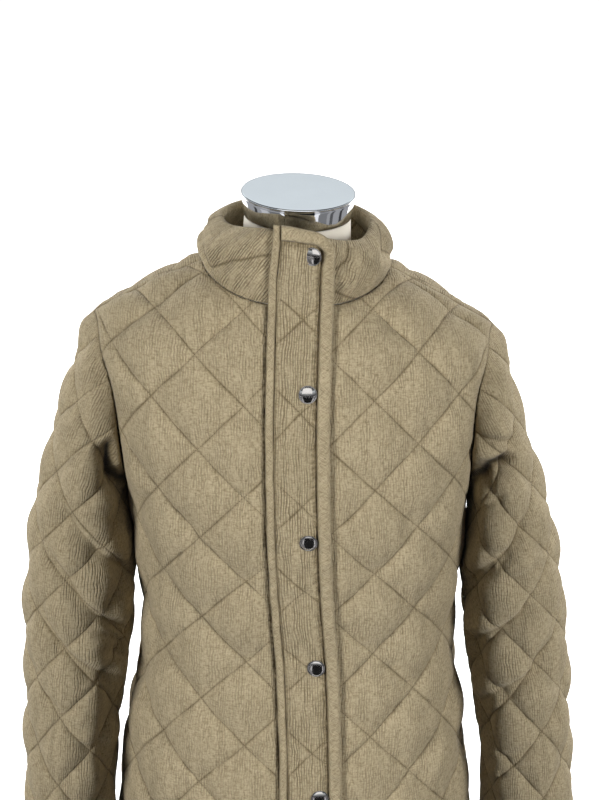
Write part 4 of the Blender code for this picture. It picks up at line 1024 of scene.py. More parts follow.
def sleeve_outline(surface):
    """A sleeve laid open along its underarm: the cuff, one side, the cap and the other side."""
    last_row, last_column = len(surface.points) - 1, surface.points.shape[1] - 1
    cap = surface.flat(np.stack((np.full(97, float(last_row)), np.linspace(0, last_column, 97)), 1))
    cap[:, 1] -= GAP
    w = counted(0, cap[0, 1], OUTLINE_STEP)
    cuff = counted(-SLEEVE_HALF, SLEEVE_HALF, OUTLINE_STEP)
    return joined(np.stack((cuff, 0 * cuff), 1), np.stack((0 * w + SLEEVE_HALF, w), 1), cap[::-1],
                  np.stack((0 * w - SLEEVE_HALF, w), 1)[::-1])


def under_flap(flat):
    """No puffs where the strip and the flap cover the left front."""
    return ramp(flat[:, 0] - FLAP_RIGHT - drift(HEM_Z + flat[:, 1]), 0.001, 0.014)


# ---- finishes -------------------------------------------------------------------------------
BLACK = (0, 0, 0, 1)
WHITE = (1, 1, 1, 1)
KHAKI = (0.440, 0.362, 0.228, 1)
KHAKI_LIGHT = (0.580, 0.485, 0.315, 1)
# the weave's darker threads, and the shade painted in the crinkle's valleys
KHAKI_GRAIN_AND_SHADE = (0.235, 0.182, 0.096, 1)
# painted shade along stitch lines, seams and the edges of creases
KHAKI_GROOVE_SHADE = (0.110, 0.074, 0.025, 1)
FOLD_SHADE = (0.022, 0.016, 0.007, 1)   # painted shade deep in a crease, where hardly any light comes back out


class Finish:
    """A material whose pattern is built from nodes; constants sit on the shader's own sockets."""

    def __init__(self, name, **sockets):
        """sockets are the shader's own, with _ for a space."""
        self.made = bpy.data.materials.new(name)
        self.made.use_nodes = True
        self.nodes, self.links = self.made.node_tree.nodes, self.made.node_tree.links
        self.shader = self.nodes["Principled BSDF"]
        for socket, value in sockets.items():
            self.shader.inputs[socket.replace("_", " ")].default_value = value

    def add(self, kind, inputs=None, **settings):
        """A node of a kind, with its settings made and its sockets fed."""
        node = self.nodes.new("ShaderNode" + kind)
        for name, value in settings.items():
            setattr(node, name, value)
        for name, value in (inputs or {}).items():
            self.feed(node.inputs[name], value)
        return node

    def feed(self, socket, value):
        """Links a socket to another one, or gives it a value."""
        if isinstance(value, bpy.types.NodeSocket):
            self.links.new(value, socket)
        else:
            socket.default_value = value

    def mixed(self, low, high, amount):
        """A colour between two, by an amount."""
        node = self.add("Mix", data_type="RGBA")
        self.feed(node.inputs[0], amount)
        self.feed(node.inputs[6], low)
        self.feed(node.inputs[7], high)
        return node.outputs[2]

    def sums(self, kind, a, b=None, c=None):
        """The result of one step of arithmetic."""
        node = self.add("Math", operation=kind)
        for socket, value in zip(node.inputs, (a, b, c)):
            if value is not None:
                self.feed(socket, value)
        return node.outputs[0]

    def spread(self, value, low, high, bottom=0.0, top=1.0):
        """A value carried from one range to another, and held inside it."""
        node = self.add("MapRange", {"Value": value, "From Min": low, "From Max": high,
                                     "To Min": bottom, "To Max": top})
        return node.outputs[0]

    def coordinates(self, scale, turn=0.0, uv=True):
        """Places on the cloth's own pattern, or on the object, turned and scaled."""
        if uv:
            source = self.add("UVMap", uv_map="pattern").outputs[0]
        else:
            source = self.add("TexCoord").outputs["Object"]
        turned = self.add("Mapping", {"Vector": source, "Rotation": (0, 0, turn)})
        return self.add("Mapping", {"Vector": turned.outputs[0], "Scale": scale}).outputs[0]

    def noise(self, scale, detail=2.0, roughness=0.5, turn=0.0, uv=True):
        """Cloudy noise, with a scale of its own along each axis."""
        return self.add("TexNoise", {"Vector": self.coordinates(scale, turn, uv), "Scale": 1.0,
                                     "Detail": detail, "Roughness": roughness}).outputs[0]

    def colour(self, value):
        """Colours the surface."""
        self.feed(self.shader.inputs["Base Color"], value)

    def bump(self, height, distance, strength):
        """Fine relief, too small to model."""
        node = self.add("Bump", {"Height": height, "Distance": distance, "Strength": strength})
        self.links.new(node.outputs[0], self.shader.inputs["Normal"])


def crinkled_cloth(name, turn=0.0, pitch=0.0027, length=0.020, depth=0.5):
    """Crinkled plain weave. Ridges run up the pattern: the sine of the distance across, shifted
    by a slow noise and fading in and out along their length, with shade painted in their valleys.
    Under them is a speckle of threads. Shade is painted along stitch lines, darker still deep in a
    crease, and the tone changes slowly."""
    cloth = Finish(name, Roughness=0.88, Sheen_Weight=0.15, Sheen_Roughness=0.5,
                   Specular_IOR_Level=0.2)
    across = cloth.add("SeparateXYZ", {"Vector": cloth.coordinates((1, 1, 1), turn)}).outputs[0]
    stray = cloth.noise((0.16 / pitch, 1 / length, 1), 2.0, 0.55, turn)
    phase = cloth.sums("MULTIPLY_ADD", across, 2 * math.pi / pitch, cloth.sums("MULTIPLY", stray, 15.0))
    valley = cloth.spread(cloth.sums("SINE", phase), 0.0, 1.0)
    patchy = cloth.noise((0.30 / pitch, 0.7 / length, 1), 2.0, 0.5, turn)
    valley = cloth.sums("MULTIPLY", valley, cloth.spread(patchy, 0.38, 0.58, 0.15, 1.0))
    threads_up = cloth.noise((620, 170, 1), 2.0, 0.75, turn)
    threads_across = cloth.noise((190, 620, 1), 2.0, 0.75, turn)
    grain = cloth.sums("ADD", threads_up, threads_across)
    slow = cloth.noise((16, 12, 1), 3.0)
    groove = cloth.add("Attribute", attribute_name="groove").outputs["Fac"]
    base = KHAKI
    for tone, amount in (
            (KHAKI_LIGHT, cloth.spread(slow, 0.35, 0.7, 0.0, 0.28)),
            (KHAKI_LIGHT, cloth.spread(grain, 1.0, 1.25, 0.0, 0.75)),
            (KHAKI_GRAIN_AND_SHADE, cloth.spread(grain, 1.0, 0.75, 0.0, 0.75)),
            # the last three are painted shade: in the crinkle's valleys, along stitch lines and seams,
            # and deep in creases
            (KHAKI_GRAIN_AND_SHADE, cloth.sums("MULTIPLY", valley, depth)),
            (KHAKI_GROOVE_SHADE, cloth.spread(groove, 0.12, 0.95, 0.0, 0.62)),
            (FOLD_SHADE, cloth.spread(groove, 1.0, 1.6, 0.0, 0.9))):
        base = cloth.mixed(base, tone, amount)
    cloth.colour(base)
    rise = cloth.sums("MULTIPLY_ADD", grain, 0.35, cloth.sums("MULTIPLY", valley, -1.4 * depth))
    cloth.bump(rise, 0.0011, 0.8)
    return cloth.made


def thread_finish():
    """Dark olive sewing thread, a little uneven along its length."""
    thread = Finish("olive_thread", Roughness=0.7, Sheen_Weight=0.1)
    tone = thread.noise((900, 900, 900), 1.0, uv=False)
    thread.colour(thread.mixed((0.060, 0.038, 0.012, 1), (0.15, 0.108, 0.046, 1), tone))
    return thread.made


def jersey_finish():
    """Cream stretch jersey: rows of tiny loops."""
    jersey = Finish("cream_jersey", Roughness=0.9, Sheen_Weight=0.2)
    loops = jersey.noise((900, 900, 450), 1.5, uv=False)
    tone = jersey.noise((9, 9, 9), 2.0, uv=False)
    jersey.colour(jersey.mixed((0.83, 0.77, 0.65, 1), (0.90, 0.85, 0.74, 1), tone))
    jersey.bump(loops, 0.0003, 0.5)
    return jersey.made


def metal_finish(name, dark, light, roughness, scale, wear=0.02):
    """Bare metal: a slightly uneven polish, with faint smudges."""
    metal = Finish(name, Metallic=1.0)
    smudge = metal.noise(scale, 3.0, 0.6, uv=False)
    metal.colour(metal.mixed(dark, light, smudge))
    metal.feed(metal.shader.inputs["Roughness"],
               metal.spread(smudge, 0.3, 0.7, roughness, roughness + wear))
    return metal.made


# ---- collar ---------------------------------------------------------------------------------
# its stitch lines, as (distance round the neck from the centre front, height) at both ends
COLLAR_SEAMS = (
    (-0.098, 0.014, -0.070, 0.0350), (-0.070, 0.035, -0.028, 0.0495),
    (0.070, 0.074, 0.056, 0.0480), (0.056, 0.048, 0.036, 0.0350), (0.034, 0.0190, 0.062, -0.001),
    (0.110, 0.043, 0.142, 0.074), (0.110, 0.043, 0.150, 0.002),
    (-0.098, 0.014, -0.150, 0.050), (-0.150, 0.050, -0.128, 0.074), (-0.150, 0.050, -0.205, 0.004),
    (0.150, 0.002, 0.200, 0.046), (0.200, 0.046, 0.226, 0.074), (0.200, 0.046, 0.245, 0.004),
    (-0.205, 0.004, -0.245, 0.040), (0.245, 0.004, 0.285, 0.040), (-0.245, 0.040, -0.220, 0.074))
# its wall's profile: height up the collar, distance in from the outer face
COLLAR_WALL = np.array((
    (0.00, 0.0000), (0.30, 0.0000), (0.60, 0.0000), (0.84, 0.0003), (0.94, 0.0016), (0.99, 0.0040),
    (0.985, 0.0066), (0.93, 0.0086), (0.80, 0.0094), (0.55, 0.0096), (0.25, 0.0085), (0.00, 0.0040)))


@lru_cache(None)
def neck_walk():
    """Angles round the neck, and the distance walked along the neckline to each from the front."""
    fine = np.linspace(-math.pi, math.pi, 721)
    walked = along(neck_ring(fine)[:, None], 0)[:, 0]
    return fine, walked - walked[360]


def from_lines(flat, lines):
    """Distance from the nearest of some lines, and how far along it."""
    away, step = np.full(len(flat), FAR), np.zeros(len(flat))
    for s0, h0, s1, h1 in lines:
        start, run = np.array((s0, h0)), np.array((s1 - s0, h1 - h0))
        u = np.clip(((flat - start) @ run) / (run @ run), 0, 1)
        gap = np.hypot(*(flat - start - u[:, None] * run).T)
        closer = gap < away
        away = np.where(closer, gap, away)
        step = np.where(closer, u * math.hypot(*run), step)
    return away, step


def collar_height(s, h, outer):
    """Height of the collar's face, full between its stitch lines, its seam and its top edge, and the
    shade painted along its stitch lines. The inner face (outer is False) swells the other way, and less."""
    flat = np.stack((s, h), 1)
    away, step = from_lines(flat, COLLAR_SEAMS)
    edge = np.minimum(h + 0.001, COLLAR_HEIGHT + 0.004 - h)
    puff = COLLAR_PUFF * (1 - bell(away, 0.010)) * (1 - bell(np.maximum(edge, 0), 0.012))
    pinch = 0.0007 * noise(step / 0.006, np.round(s / 0.05), 3) * bell(away - 0.004, 0.006)
    gather = 0.0006 * noise(s / 0.007, 0 * s, 5) * bell(edge - 0.006, 0.008)
    waves = 0.0010 * noise(s / 0.030, h / 0.035, 7)
    height = np.where(outer, puff + pinch + gather + waves, -0.65 * (puff + waves) - pinch)
    # shade painted along the stitch lines
    return height, bell(away, 0.0017)


def collar(finish):
    """A padded stand collar: its wall's profile carried round the neckline, open in front."""
    ends = [collar_phi(np.array([edge_s(CLOSING_NECK_Z) + gap]), 0.0)[0] for gap in (GAP, -GAP)]
    round_it = np.linspace(ends[0], ends[1] + 2 * math.pi, 330)
    wrapped = np.where(round_it > math.pi, round_it - 2 * math.pi, round_it)
    knots = along(COLLAR_WALL[:, None] * (COLLAR_HEIGHT, 1), 0)[:, 0]
    t = np.linspace(0, knots[-1], 92)
    v, inward = (through(knots, COLLAR_WALL[:, k], t) for k in (0, 1))
    v = np.clip(v, 0, 0.999)
    angle, level = (g.ravel() for g in np.meshgrid(wrapped, v, indexing="ij"))
    depth = np.tile(np.maximum(inward, 0), len(wrapped))
    length = np.tile(t, len(wrapped))
    outer = np.tile(t < knots[6], len(wrapped))
    s = np.interp(angle, *neck_walk())
    height, groove = collar_height(s, COLLAR_HEIGHT * level, outer)
    beside_flap = ramp(angle * NECK_HALF_WIDTH, FLAP_RIGHT + 0.001, FLAP_RIGHT + 0.012)
    beside_strip = ramp((ends[1] - angle) * NECK_HALF_WIDTH, 0, 0.014)
    height = height * np.where(angle > 0, beside_flap, beside_strip)
    seat = np.sin(math.pi * np.clip(level, 0, 1)) ** 0.25
    points = collar_point(angle, level, depth) + radial(angle) * (height * seat)[:, None]
    under_closing = ramp(angle * NECK_HALF_WIDTH, FLAP_LEFT - 0.012, FLAP_LEFT - 0.004)
    under_closing *= 1 - ramp(angle * NECK_HALF_WIDTH, FLAP_RIGHT - 0.006, FLAP_RIGHT + 0.004)
    points[:, 2] += GAP * (level < 0.02) - 0.0026 * under_closing * level
    points, faces = closed_tube(settle(points), len(wrapped), len(t))
    uv = np.concatenate((np.stack((s, length), 1), np.zeros((2, 2))))
    return tidy_mesh(piece("collar_cloth", points, faces, finish, uv, np.append(groove, (0, 0))))


def tidy_mesh(made):
    """Merges doubled points and turns every face outwards."""
    work = bmesh.new()
    work.from_mesh(made.data)
    bmesh.ops.remove_doubles(work, verts=work.verts, dist=1e-6)
    bmesh.ops.dissolve_degenerate(work, edges=work.edges, dist=1e-7)
    bmesh.ops.recalc_face_normals(work, faces=work.faces)
    work.to_mesh(made.data)
    work.free()
    return made


def collar_stitches(finish):
    """Stitches along the collar's lines, apart from those that the closing covers."""
    rows = [row_of(np.reshape(seam, (2, 2)), STITCH_PITCH, 0.76) for seam in COLLAR_SEAMS]
    starts, ends = (np.concatenate(places) for places in zip(*rows))
    good = (starts[:, 1] > 0.002) & (ends[:, 1] < COLLAR_HEIGHT - 0.003)
    good &= (starts[:, 0] > FLAP_RIGHT + 0.006) | (starts[:, 0] < FLAP_LEFT - STRIP_WIDTH - 0.002)
    fine, walked = neck_walk()
    tips = []
    for flat in (starts[good], ends[good]):
        angle, level = np.interp(flat[:, 0], walked, fine), flat[:, 1] / COLLAR_HEIGHT
        height, _ = collar_height(*flat.T, True)
        over = (height + STITCH_LIFT)[:, None]
        tips.append(settle(collar_point(angle, level) + radial(angle) * over))
    return threads("collar_stitching", *tips, radial(angle), finish)


# ---- closing --------------------------------------------------------------------------------
def raised(surface, s, w, height):
    """Points over a surface at pattern places, and the surface's directions there."""
    at = surface.solve((surface.s, surface.w), np.stack((s, w), 1))
    normals = unit(surface.sample(surface.normals, at))
    return surface.sample(surface.points, at) + normals * np.reshape(height, (-1, 1)), normals


def to_the_right(path):
    """Unit directions to the right of a path, at each of its places."""
    direction = unit(np.gradient(path, axis=0))
    return np.stack((direction[:, 1], -direction[:, 0]), 1)


def band(name, path, profile, finish, ripple, sewn=(-1, 1)):
    """A tube of cloth along a path on the closing: a closed profile of (distance to the right of
    the path, height), rippled on top, and with shade painted on the sides where it is sewn."""
    n, m = len(path), len(profile)
    offset, height = profile.T
    # shade painted along each sewn side
    creased = sum(bell(offset - side * abs(offset).max(), 0.0012) for side in sewn)
    flat = (path[:, None] + to_the_right(path)[:, None] * offset[:, None]).reshape(-1, 2)
    walked = np.repeat(along(path[:, None], 0)[:, 0], m)
    offset, top, height = np.tile(offset, n), height.max(), np.tile(height, n)
    uneven = noise(walked / 0.0065, offset / 0.004, 21) + 0.6 * noise(walked / 0.021, offset / 0.01, 22)
    height = height + ripple * uneven * (height > top * 0.75)
    points, faces = closed_tube(raised(CLOSING, *flat.T, height)[0], n, m)
    uv = np.stack((walked, np.tile(np.linspace(0, 0.03, m), n)), 1)
    uv, groove = np.concatenate((uv, uv[:2])), np.append(np.tile(creased, n), (0, 0))
    return tidy_mesh(piece(name, points, faces, finish, uv, groove))


def band_stitches(name, path, offsets, height, finish):
    """Rows of stitches along a band, at distances to the right of its path."""
    right = to_the_right(path)
    starts, ends = zip(*(row_of(path + right * offset) for offset in offsets))
    a, normals = raised(CLOSING, *np.concatenate(starts).T, height)
    b, _ = raised(CLOSING, *np.concatenate(ends).T, height)
    return threads(name, a, b, normals, finish, 1.2 * THREAD_RADIUS)


def rounded(half, low, high):
    """A flat-bottomed loaf's outline, from its right foot over the top to its left foot: a
    superellipse above, and two points below."""
    a = np.linspace(0, math.pi, 15)
    x = -half * np.sign(np.cos(a)) * np.abs(np.cos(a)) ** 0.55
    y = low + (high - low) * np.sin(a) ** 0.55
    return np.concatenate((np.stack((x, y), 1)[::-1], ((-half * 0.4, low), (half * 0.4, low))))


def round_the_corner(inwards, start, left, step, count):
    """A line up the flap's right side, round its corner and along its top to the left, at a
    distance inwards from its edge. The corner is a quarter circle."""
    right, high = FLAP_RIGHT - inwards, CLOSING_TOP - inwards
    radius = BINDING_CORNER + BINDING_WIDTH / 2 - inwards
    w = counted(start, high - radius, step)
    turn = np.linspace(0, math.pi / 2, count)[1:-1]
    across = counted(right - radius, left, step)
    return np.concatenate((
        np.stack((0 * w + right, w), 1),
        np.stack((right - radius + radius * np.cos(turn), high - radius + radius * np.sin(turn)), 1),
        np.stack((across, 0 * across + high), 1)))


def snap_places():
    """The snaps' places in the flap's pattern, from their heights."""
    column = np.argmin(abs(CLOSING.s[0] - SNAP_S))
    z = CLOSING.points[:, column, 2]
    return [(SNAP_S, float(np.interp(height, z, CLOSING.w[:, column]))) for height in SNAP_Z]


def flap_panel(snaps):
    """The flap, from its left edge to its binding, pressed flat round the snaps and with two
    rows of stitches beside the binding."""
    left = FLAP_LEFT + GAP / 2
    edge, *channels = (round_the_corner(BINDING_WIDTH + inwards, 0, left, OUTLINE_STEP, 9)
                       for inwards in (0, 0.0010, 0.0034))
    high = edge[-1, 1]
    w = counted(0, high, OUTLINE_STEP)
    outline = joined(((left, 0), (left / 2, 0)), edge, np.stack((0 * w + left, w), 1)[::-1])

    def dimples(flat):
        """Little is left of the puffs at a snap, and all of them 12 mm past its rim."""
        near = np.min([np.hypot(*(flat - place).T) for place in snaps], axis=0)
        return 0.15 + 0.85 * ramp(near, SNAP_RADIUS * 0.8, SNAP_RADIUS + 0.012)

    return Panel(CLOSING, outline, QUILT_FLAP, 31, puff=FLAP_PUFF, cover=dimples, lift=FLAP_LIFT,
                 channels=channels, fade=0.005, wave=0.0007, quilt_top=0.622)


# ---- turned pieces --------------------------------------------------------------------------
def revolve(name, profile, segments, finish, matrix=None):
    """A profile of (radius, height) turned about Z, then placed."""
    profile = np.asarray(profile, float)
    theta = np.linspace(0, 2 * math.pi, segments, endpoint=False)
    points = np.stack((profile[:, 0, None] * np.cos(theta), profile[:, 0, None] * np.sin(theta),
                       profile[:, 1, None] + 0 * theta), 2).reshape(-1, 3)
    if matrix is not None:
        matrix = np.array(matrix)
        points = points @ matrix[:3, :3].T + matrix[:3, 3]
    made = piece(name, points, grid_faces(len(profile), segments, round_columns=True), finish)
    return tidy_mesh(made)


def rounding(corner_r, corner_z, radius, start, stop, steps):
    """Part of a circle in a turned profile, between two angles from the outward direction."""
    a = np.radians(np.linspace(start, stop, steps))
    return [(corner_r + radius * math.cos(k), corner_z + radius * math.sin(k)) for k in a]


def snap(name, place, normal, finish):
    """A press stud's cap: a smooth low dome that rolls over into a thin rim."""
    r, arc = SNAP_RADIUS, 1.2
    widest, lowest = math.sin(arc), math.cos(arc)
    profile = [(r * 0.90 * math.sin(a) / widest, SNAP_RIM + SNAP_DOME * (math.cos(a) - lowest) / 0.638)
               for a in np.linspace(0, arc, 12)]
    profile += [(r * 0.945 + r * 0.055 * math.cos(a), SNAP_RIM + 0.0006 * math.sin(a))
                for a in np.linspace(math.pi * 0.75, -0.4, 9)]
    profile += [(r * 0.93, 0), (0, 0)]
    turn = Vector(normal).to_track_quat("Z", "Y").to_matrix().to_4x4()
    return revolve(name, profile, 48, finish, Matrix.Translation(Vector(place)) @ turn)


def neck_frame():
    """Where the neck's top is, leaning forward and settled with the shoulders."""
    lean = Matrix.Rotation(NECK_LEAN, 4, "X") @ Matrix.Rotation(TILT, 4, "Y")
    return Matrix.Translation((SHIFT / 5, NECK_Y, NECK_TOP_Z)) @ lean


def form(finish):
    """The form's body: level rings up to its shoulder line, closed underneath."""
    front = body_half(True, True)[::2, ::2]
    back = body_half(False, True)[::2, ::2][:, -2:0:-1]
    back[-1] = front[-1, -2:0:-1]
    rings = settle(np.concatenate((front, back), 1))
    middle = np.array((0, 0.002, FORM_BOTTOM_Z))
    under = [middle + (rings[0] - middle) * k for k in (0.0, 0.45, 0.85, 0.97)]
    rings = np.concatenate((np.stack(under), rings))
    faces = grid_faces(*rings.shape[:2], round_columns=True)
    return tidy_mesh(piece("form_body", rings.reshape(-1, 3), faces, finish))


def neck(finish):
    """The form's neck, spreading a little into its shoulders."""
    t = np.linspace(0, 1, 24)
    profile = [(0, -NECK_LENGTH)] + [
        (NECK_RADIUS + NECK_FLARE * (1 - k) + 0.010 * (1 - k) ** 6, -NECK_LENGTH * (1 - k)) for k in t]
    return revolve("form_neck", profile + [(0, 0)], 72, finish, neck_frame())


def cap(finish):
    """The neck's polished cap: a flat top, a rolled rim with a fine line under it, and a band
    that tapers down."""
    r, h, taper = CAP_RADIUS, CAP_HEIGHT, 0.0028
    profile = [(0, h), (r * 0.5, h), (r - 0.0040, h), (r - 0.0022, h)]
    profile += rounding(r - 0.0012, h - 0.0012, 0.0012, 85, -30, 9)
    profile += [(r - 0.0007, h - 0.0026), (r - 0.0004, h - 0.0036)]
    profile += [(r - 0.0003 - taper * k, (h - 0.0036) * (1 - k)) for k in np.linspace(0.1, 0.93, 8)]
    profile += [(r - taper - 0.001, 0.0), (0, 0)]
    return revolve("polished_cap", profile, 128, finish, neck_frame() @ Matrix.Translation((0, 0, GAP)))


def stand(steel, chrome):
    """The pole, with its ends bevelled, and the round base."""
    low, high, r = BASE_HEIGHT + GAP, FORM_BOTTOM_Z - GAP, POLE_RADIUS
    pole = revolve("stand_pole", [(0, high), (r - 0.0008, high), (r, high - 0.0008), (r, low + 0.0008),
                                  (r - 0.0008, low), (0, low)], 48, chrome)
    r, h = BASE_RADIUS, BASE_HEIGHT
    profile = [(0, h), (r * 0.5, h)] + rounding(r - 0.005, h - 0.005, 0.005, 90, 0, 7)
    profile += rounding(r - 0.001, 0.001, 0.001, 0, -90, 3) + [(0, 0)]
    return pole, revolve("stand_base", profile, 128, steel)


# ---- everything put together ----------------------------------------------------------------
# the body's cloth: its tone changes slowly, and shade is painted in its stitch lines, seams, creases and
# crinkle valleys
cloth_finish = crinkled_cloth("khaki_quilted_cloth_worn")
flap_finish = crinkled_cloth("khaki_flap_cloth", 0.0, 0.0026, 0.030, 1.0)
collar_finish = crinkled_cloth("khaki_collar_cloth", math.radians(30), 0.0025, 0.022, 0.95)
binding_finish = crinkled_cloth("khaki_binding_cloth", math.radians(45), 0.0017, 0.009, 0.35)
thread = thread_finish()
gunmetal = metal_finish("snap_gunmetal_worn", (0.46, 0.44, 0.42, 1), (0.56, 0.54, 0.52, 1), 0.10,
                        (300, 300, 300), 0.08)
chrome = metal_finish("chrome_polished", (0.80, 0.82, 0.84, 1), (0.86, 0.88, 0.90, 1), 0.05,
                      (30, 30, 30))
brushed_chrome = metal_finish("pole_chrome_brushed", (0.42, 0.43, 0.44, 1), (0.50, 0.51, 0.52, 1), 0.22,
                              (600, 600, 12), 0.08)
steel = metal_finish("satin_steel_brushed", (0.55, 0.56, 0.57, 1), (0.66, 0.67, 0.68, 1), 0.30,
                     (900, 20, 20), 0.10)
jersey = jersey_finish()

# creases down the fronts of the sleeves: width, depth, and a path of pattern places that goes
# outwards, so that the cloth above swells over it
RIGHT_SLEEVE_FRONT = (
    (0.0066, 0.0160, (-0.172, 0.424), (-0.141, 0.437), (-0.120, 0.450), (-0.109, 0.470), (-0.096, 0.496)),
    (0.0055, 0.0095, (-0.180, 0.448), (-0.150, 0.459), (-0.128, 0.476), (-0.112, 0.500)),
    (0.0055, 0.0060, (-0.180, 0.322), (-0.165, 0.330), (-0.124, 0.358), (-0.083, 0.398), (-0.062, 0.425)),
    (0.0050, 0.0060, (-0.180, 0.256), (-0.164, 0.264), (-0.120, 0.291), (-0.105, 0.307), (-0.087, 0.336),
     (-0.052, 0.375)),
    (0.0055, 0.0060, (-0.178, 0.198), (-0.123, 0.228), (-0.082, 0.258), (-0.045, 0.312)),
    (0.0036, 0.0052, (-0.172, 0.240), (-0.140, 0.262), (-0.108, 0.284)),
    (0.0036, 0.0048, (-0.180, 0.222), (-0.145, 0.246), (-0.112, 0.262)),
    (0.0040, 0.0030, (-0.180, 0.372), (-0.140, 0.392), (-0.110, 0.420)),
    (0.0040, 0.0028, (-0.120, 0.160), (-0.090, 0.180), (-0.062, 0.205)),
    (0.0045, 0.0030, (-0.175, 0.120), (-0.135, 0.142), (-0.095, 0.150)),
    (0.0185, -0.0085, (-0.127, 0.04), (-0.118, 0.20), (-0.116, 0.29), (-0.130, 0.36), (-0.116, 0.41),
     (-0.100, 0.46), (-0.092, 0.54)))
LEFT_SLEEVE_FRONT = (
    (0.0075, 0.0165, (-0.178, 0.424), (-0.132, 0.445), (-0.105, 0.460), (-0.073, 0.467), (-0.050, 0.466)),
    (0.0045, 0.0060, (-0.150, 0.492), (-0.106, 0.496), (-0.068, 0.487), (-0.048, 0.484)),
    (0.0055, 0.0065, (-0.185, 0.305), (-0.160, 0.323), (-0.117, 0.353), (-0.090, 0.376), (-0.062, 0.412)),
    (0.0055, 0.0065, (-0.185, 0.236), (-0.164, 0.250), (-0.112, 0.281), (-0.089, 0.295), (-0.068, 0.328)),
    (0.0055, 0.0060, (-0.175, 0.172), (-0.139, 0.196), (-0.102, 0.219), (-0.080, 0.230), (-0.060, 0.268)),
    (0.0035, 0.0030, (-0.175, 0.395), (-0.140, 0.404), (-0.110, 0.420), (-0.085, 0.436)),
    (0.0035, 0.0028, (-0.110, 0.330), (-0.085, 0.342), (-0.060, 0.352)),
    (0.0045, 0.0028, (-0.170, 0.110), (-0.130, 0.128), (-0.090, 0.150)),
    (0.0185, -0.0075, (-0.131, 0.04), (-0.128, 0.20), (-0.131, 0.34), (-0.127, 0.45)))


def behind(folds):
    """The same kind of creases on the back of a sleeve, a little lower and shallower."""
    return tuple((width, 0.8 * depth, *[(-0.95 * s, w - 0.022) for s, w in reversed(path)])
                 for width, depth, *path in folds)


SLEEVE_FOLDS = {-1: RIGHT_SLEEVE_FRONT + behind(LEFT_SLEEVE_FRONT),
                1: LEFT_SLEEVE_FRONT + behind(RIGHT_SLEEVE_FRONT)}

torso = form(jersey)
throat = neck(jersey)
for made in (torso, throat):
    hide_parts("dress_form")

panels = {}
panels["right_front"] = Panel(FRONT, front_outline(-1), QUILT_RIGHT, 1)
panels["left_front"] = Panel(FRONT, front_outline(1), QUILT_LEFT, 2, cover=under_flap)
panels["back"] = Panel(BACK, back_outline(), QUILT_BACK, 3)
for side, name in ((-1, "right_sleeve"), (1, "left_sleeve")):
    tube = sleeve_surface(side)
    panels[name] = Panel(tube, sleeve_outline(tube), QUILT_SLEEVE[side], 5 + side, SLEEVE_DIAMOND,
                         SLEEVE_PUFF, SLEEVE_FOLDS[side])

snaps = snap_places()
panels["flap"] = flap_panel(snaps)

for name, panel in panels.items():
    made = panel.build(name + "_cloth", flap_finish if name == "flap" else cloth_finish)
    sewn = quilting(name + "_stitching", panel, thread)
    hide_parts(name)
    flat_size, area = panel.size()

neck_band = collar(collar_finish)
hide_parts("collar")
neck_stitching = collar_stitches(thread)

half = STRIP_WIDTH / 2
strip_w = counted(0.0005, CLOSING_TOP, 0.0024)
wander = 0.0005 * noise(strip_w / 0.021, 0 * strip_w, 41)
strip_path = np.stack((wander + FLAP_LEFT - half, strip_w), 1)
strip = band("strip_cloth", strip_path, rounded(half + 0.0002, -0.0006, 0.0052), binding_finish, 0.0007)
strip_rows = band_stitches("strip_stitching", strip_path, (-half + 0.0006, half - 0.0006), 0.0030, thread)
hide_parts("strip")
half = BINDING_WIDTH / 2
edge = band("binding_cloth", round_the_corner(half, 0.0005, FLAP_LEFT + 2.5 * GAP, 0.0022, 13),
            rounded(half + 0.0003, FLAP_LIFT - CLOTH - 0.001, FLAP_LIFT + 0.0026),
            binding_finish, 0.0006, sewn=(-1,))
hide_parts("binding")

# how far each snap is turned by the cloth it sits on
SNAP_LEANS = np.array((
    (-0.50, 0, 0.02), (0.03, 0, 0.05), (-0.03, 0, -0.14), (-0.10, 0, 0.0), (0.02, 0, 0.04)))
for number, ((s, w), lean) in enumerate(zip(snaps, SNAP_LEANS), 1):
    place, normal = raised(CLOSING, np.array([s]), np.array([w]), FLAP_LIFT + 1.6 * GAP)
    stud = snap(f"snap_{number}_cap", place[0], normal[0] + lean, gunmetal)
    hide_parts(f"snap_{number}")

top_cap = cap(chrome)
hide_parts("neck_cap")
pole, base = stand(steel, brushed_chrome)
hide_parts("pole")
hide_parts("base")


# ---- floor, light and camera ----------------------------------------------------------------
FLOOR_REACH = 14.0
WALL_RADIUS = 13.5
WALL_TOP = 12.0
WALL_SIDES = 64
# the studio's colour by how far up one looks: 0 is level and 1 straight up
SKY = ((0.0, (0.02, 0.02, 0.02)), (0.08, (0.14, 0.14, 0.15)), (0.30, (0.50, 0.53, 0.55)),
       (0.44, (0.84, 0.91, 0.95)), (0.50, (0.84, 0.91, 0.95)), (0.56, (0.05, 0.05, 0.05)))
# cards in degrees round from the front, from near to far in metres, and how bright
CARDS = (
    (-130, 130, 0.25, 13.0, 0.34),
    (-26, 34, 0.20, 13.2, 0.012),
    (-37, -27, 0.8, 3.0, 0.95), (35, 45, 0.8, 3.0, 0.95),
    (-62, -38, 0.8, 3.0, 0.16), (-84, -66, 0.8, 3.0, 0.55), (-104, -96, 0.8, 3.0, 0.05),
    (46, 66, 0.8, 3.0, 0.20), (74, 82, 0.8, 3.0, 0.10), (100, 108, 0.8, 3.0, 0.05),
    (38, 52, 0.45, 0.62, 1.0))
SCREEN_RADIUS = 3.0      # of the screen's arch, about a level line through the form
SCREEN_HALF_WIDTH = 1.7
SCREEN_CENTRE_Z = 0.6
CHEST = (0, 0, 0.62)     # what every lamp points at
RIGHT_STAND = (-2.45, -2.35, 1.3)
LEFT_STAND = (2.45, -2.35, 1.3)
SIDE_LAMP = (1.2, 1.6)
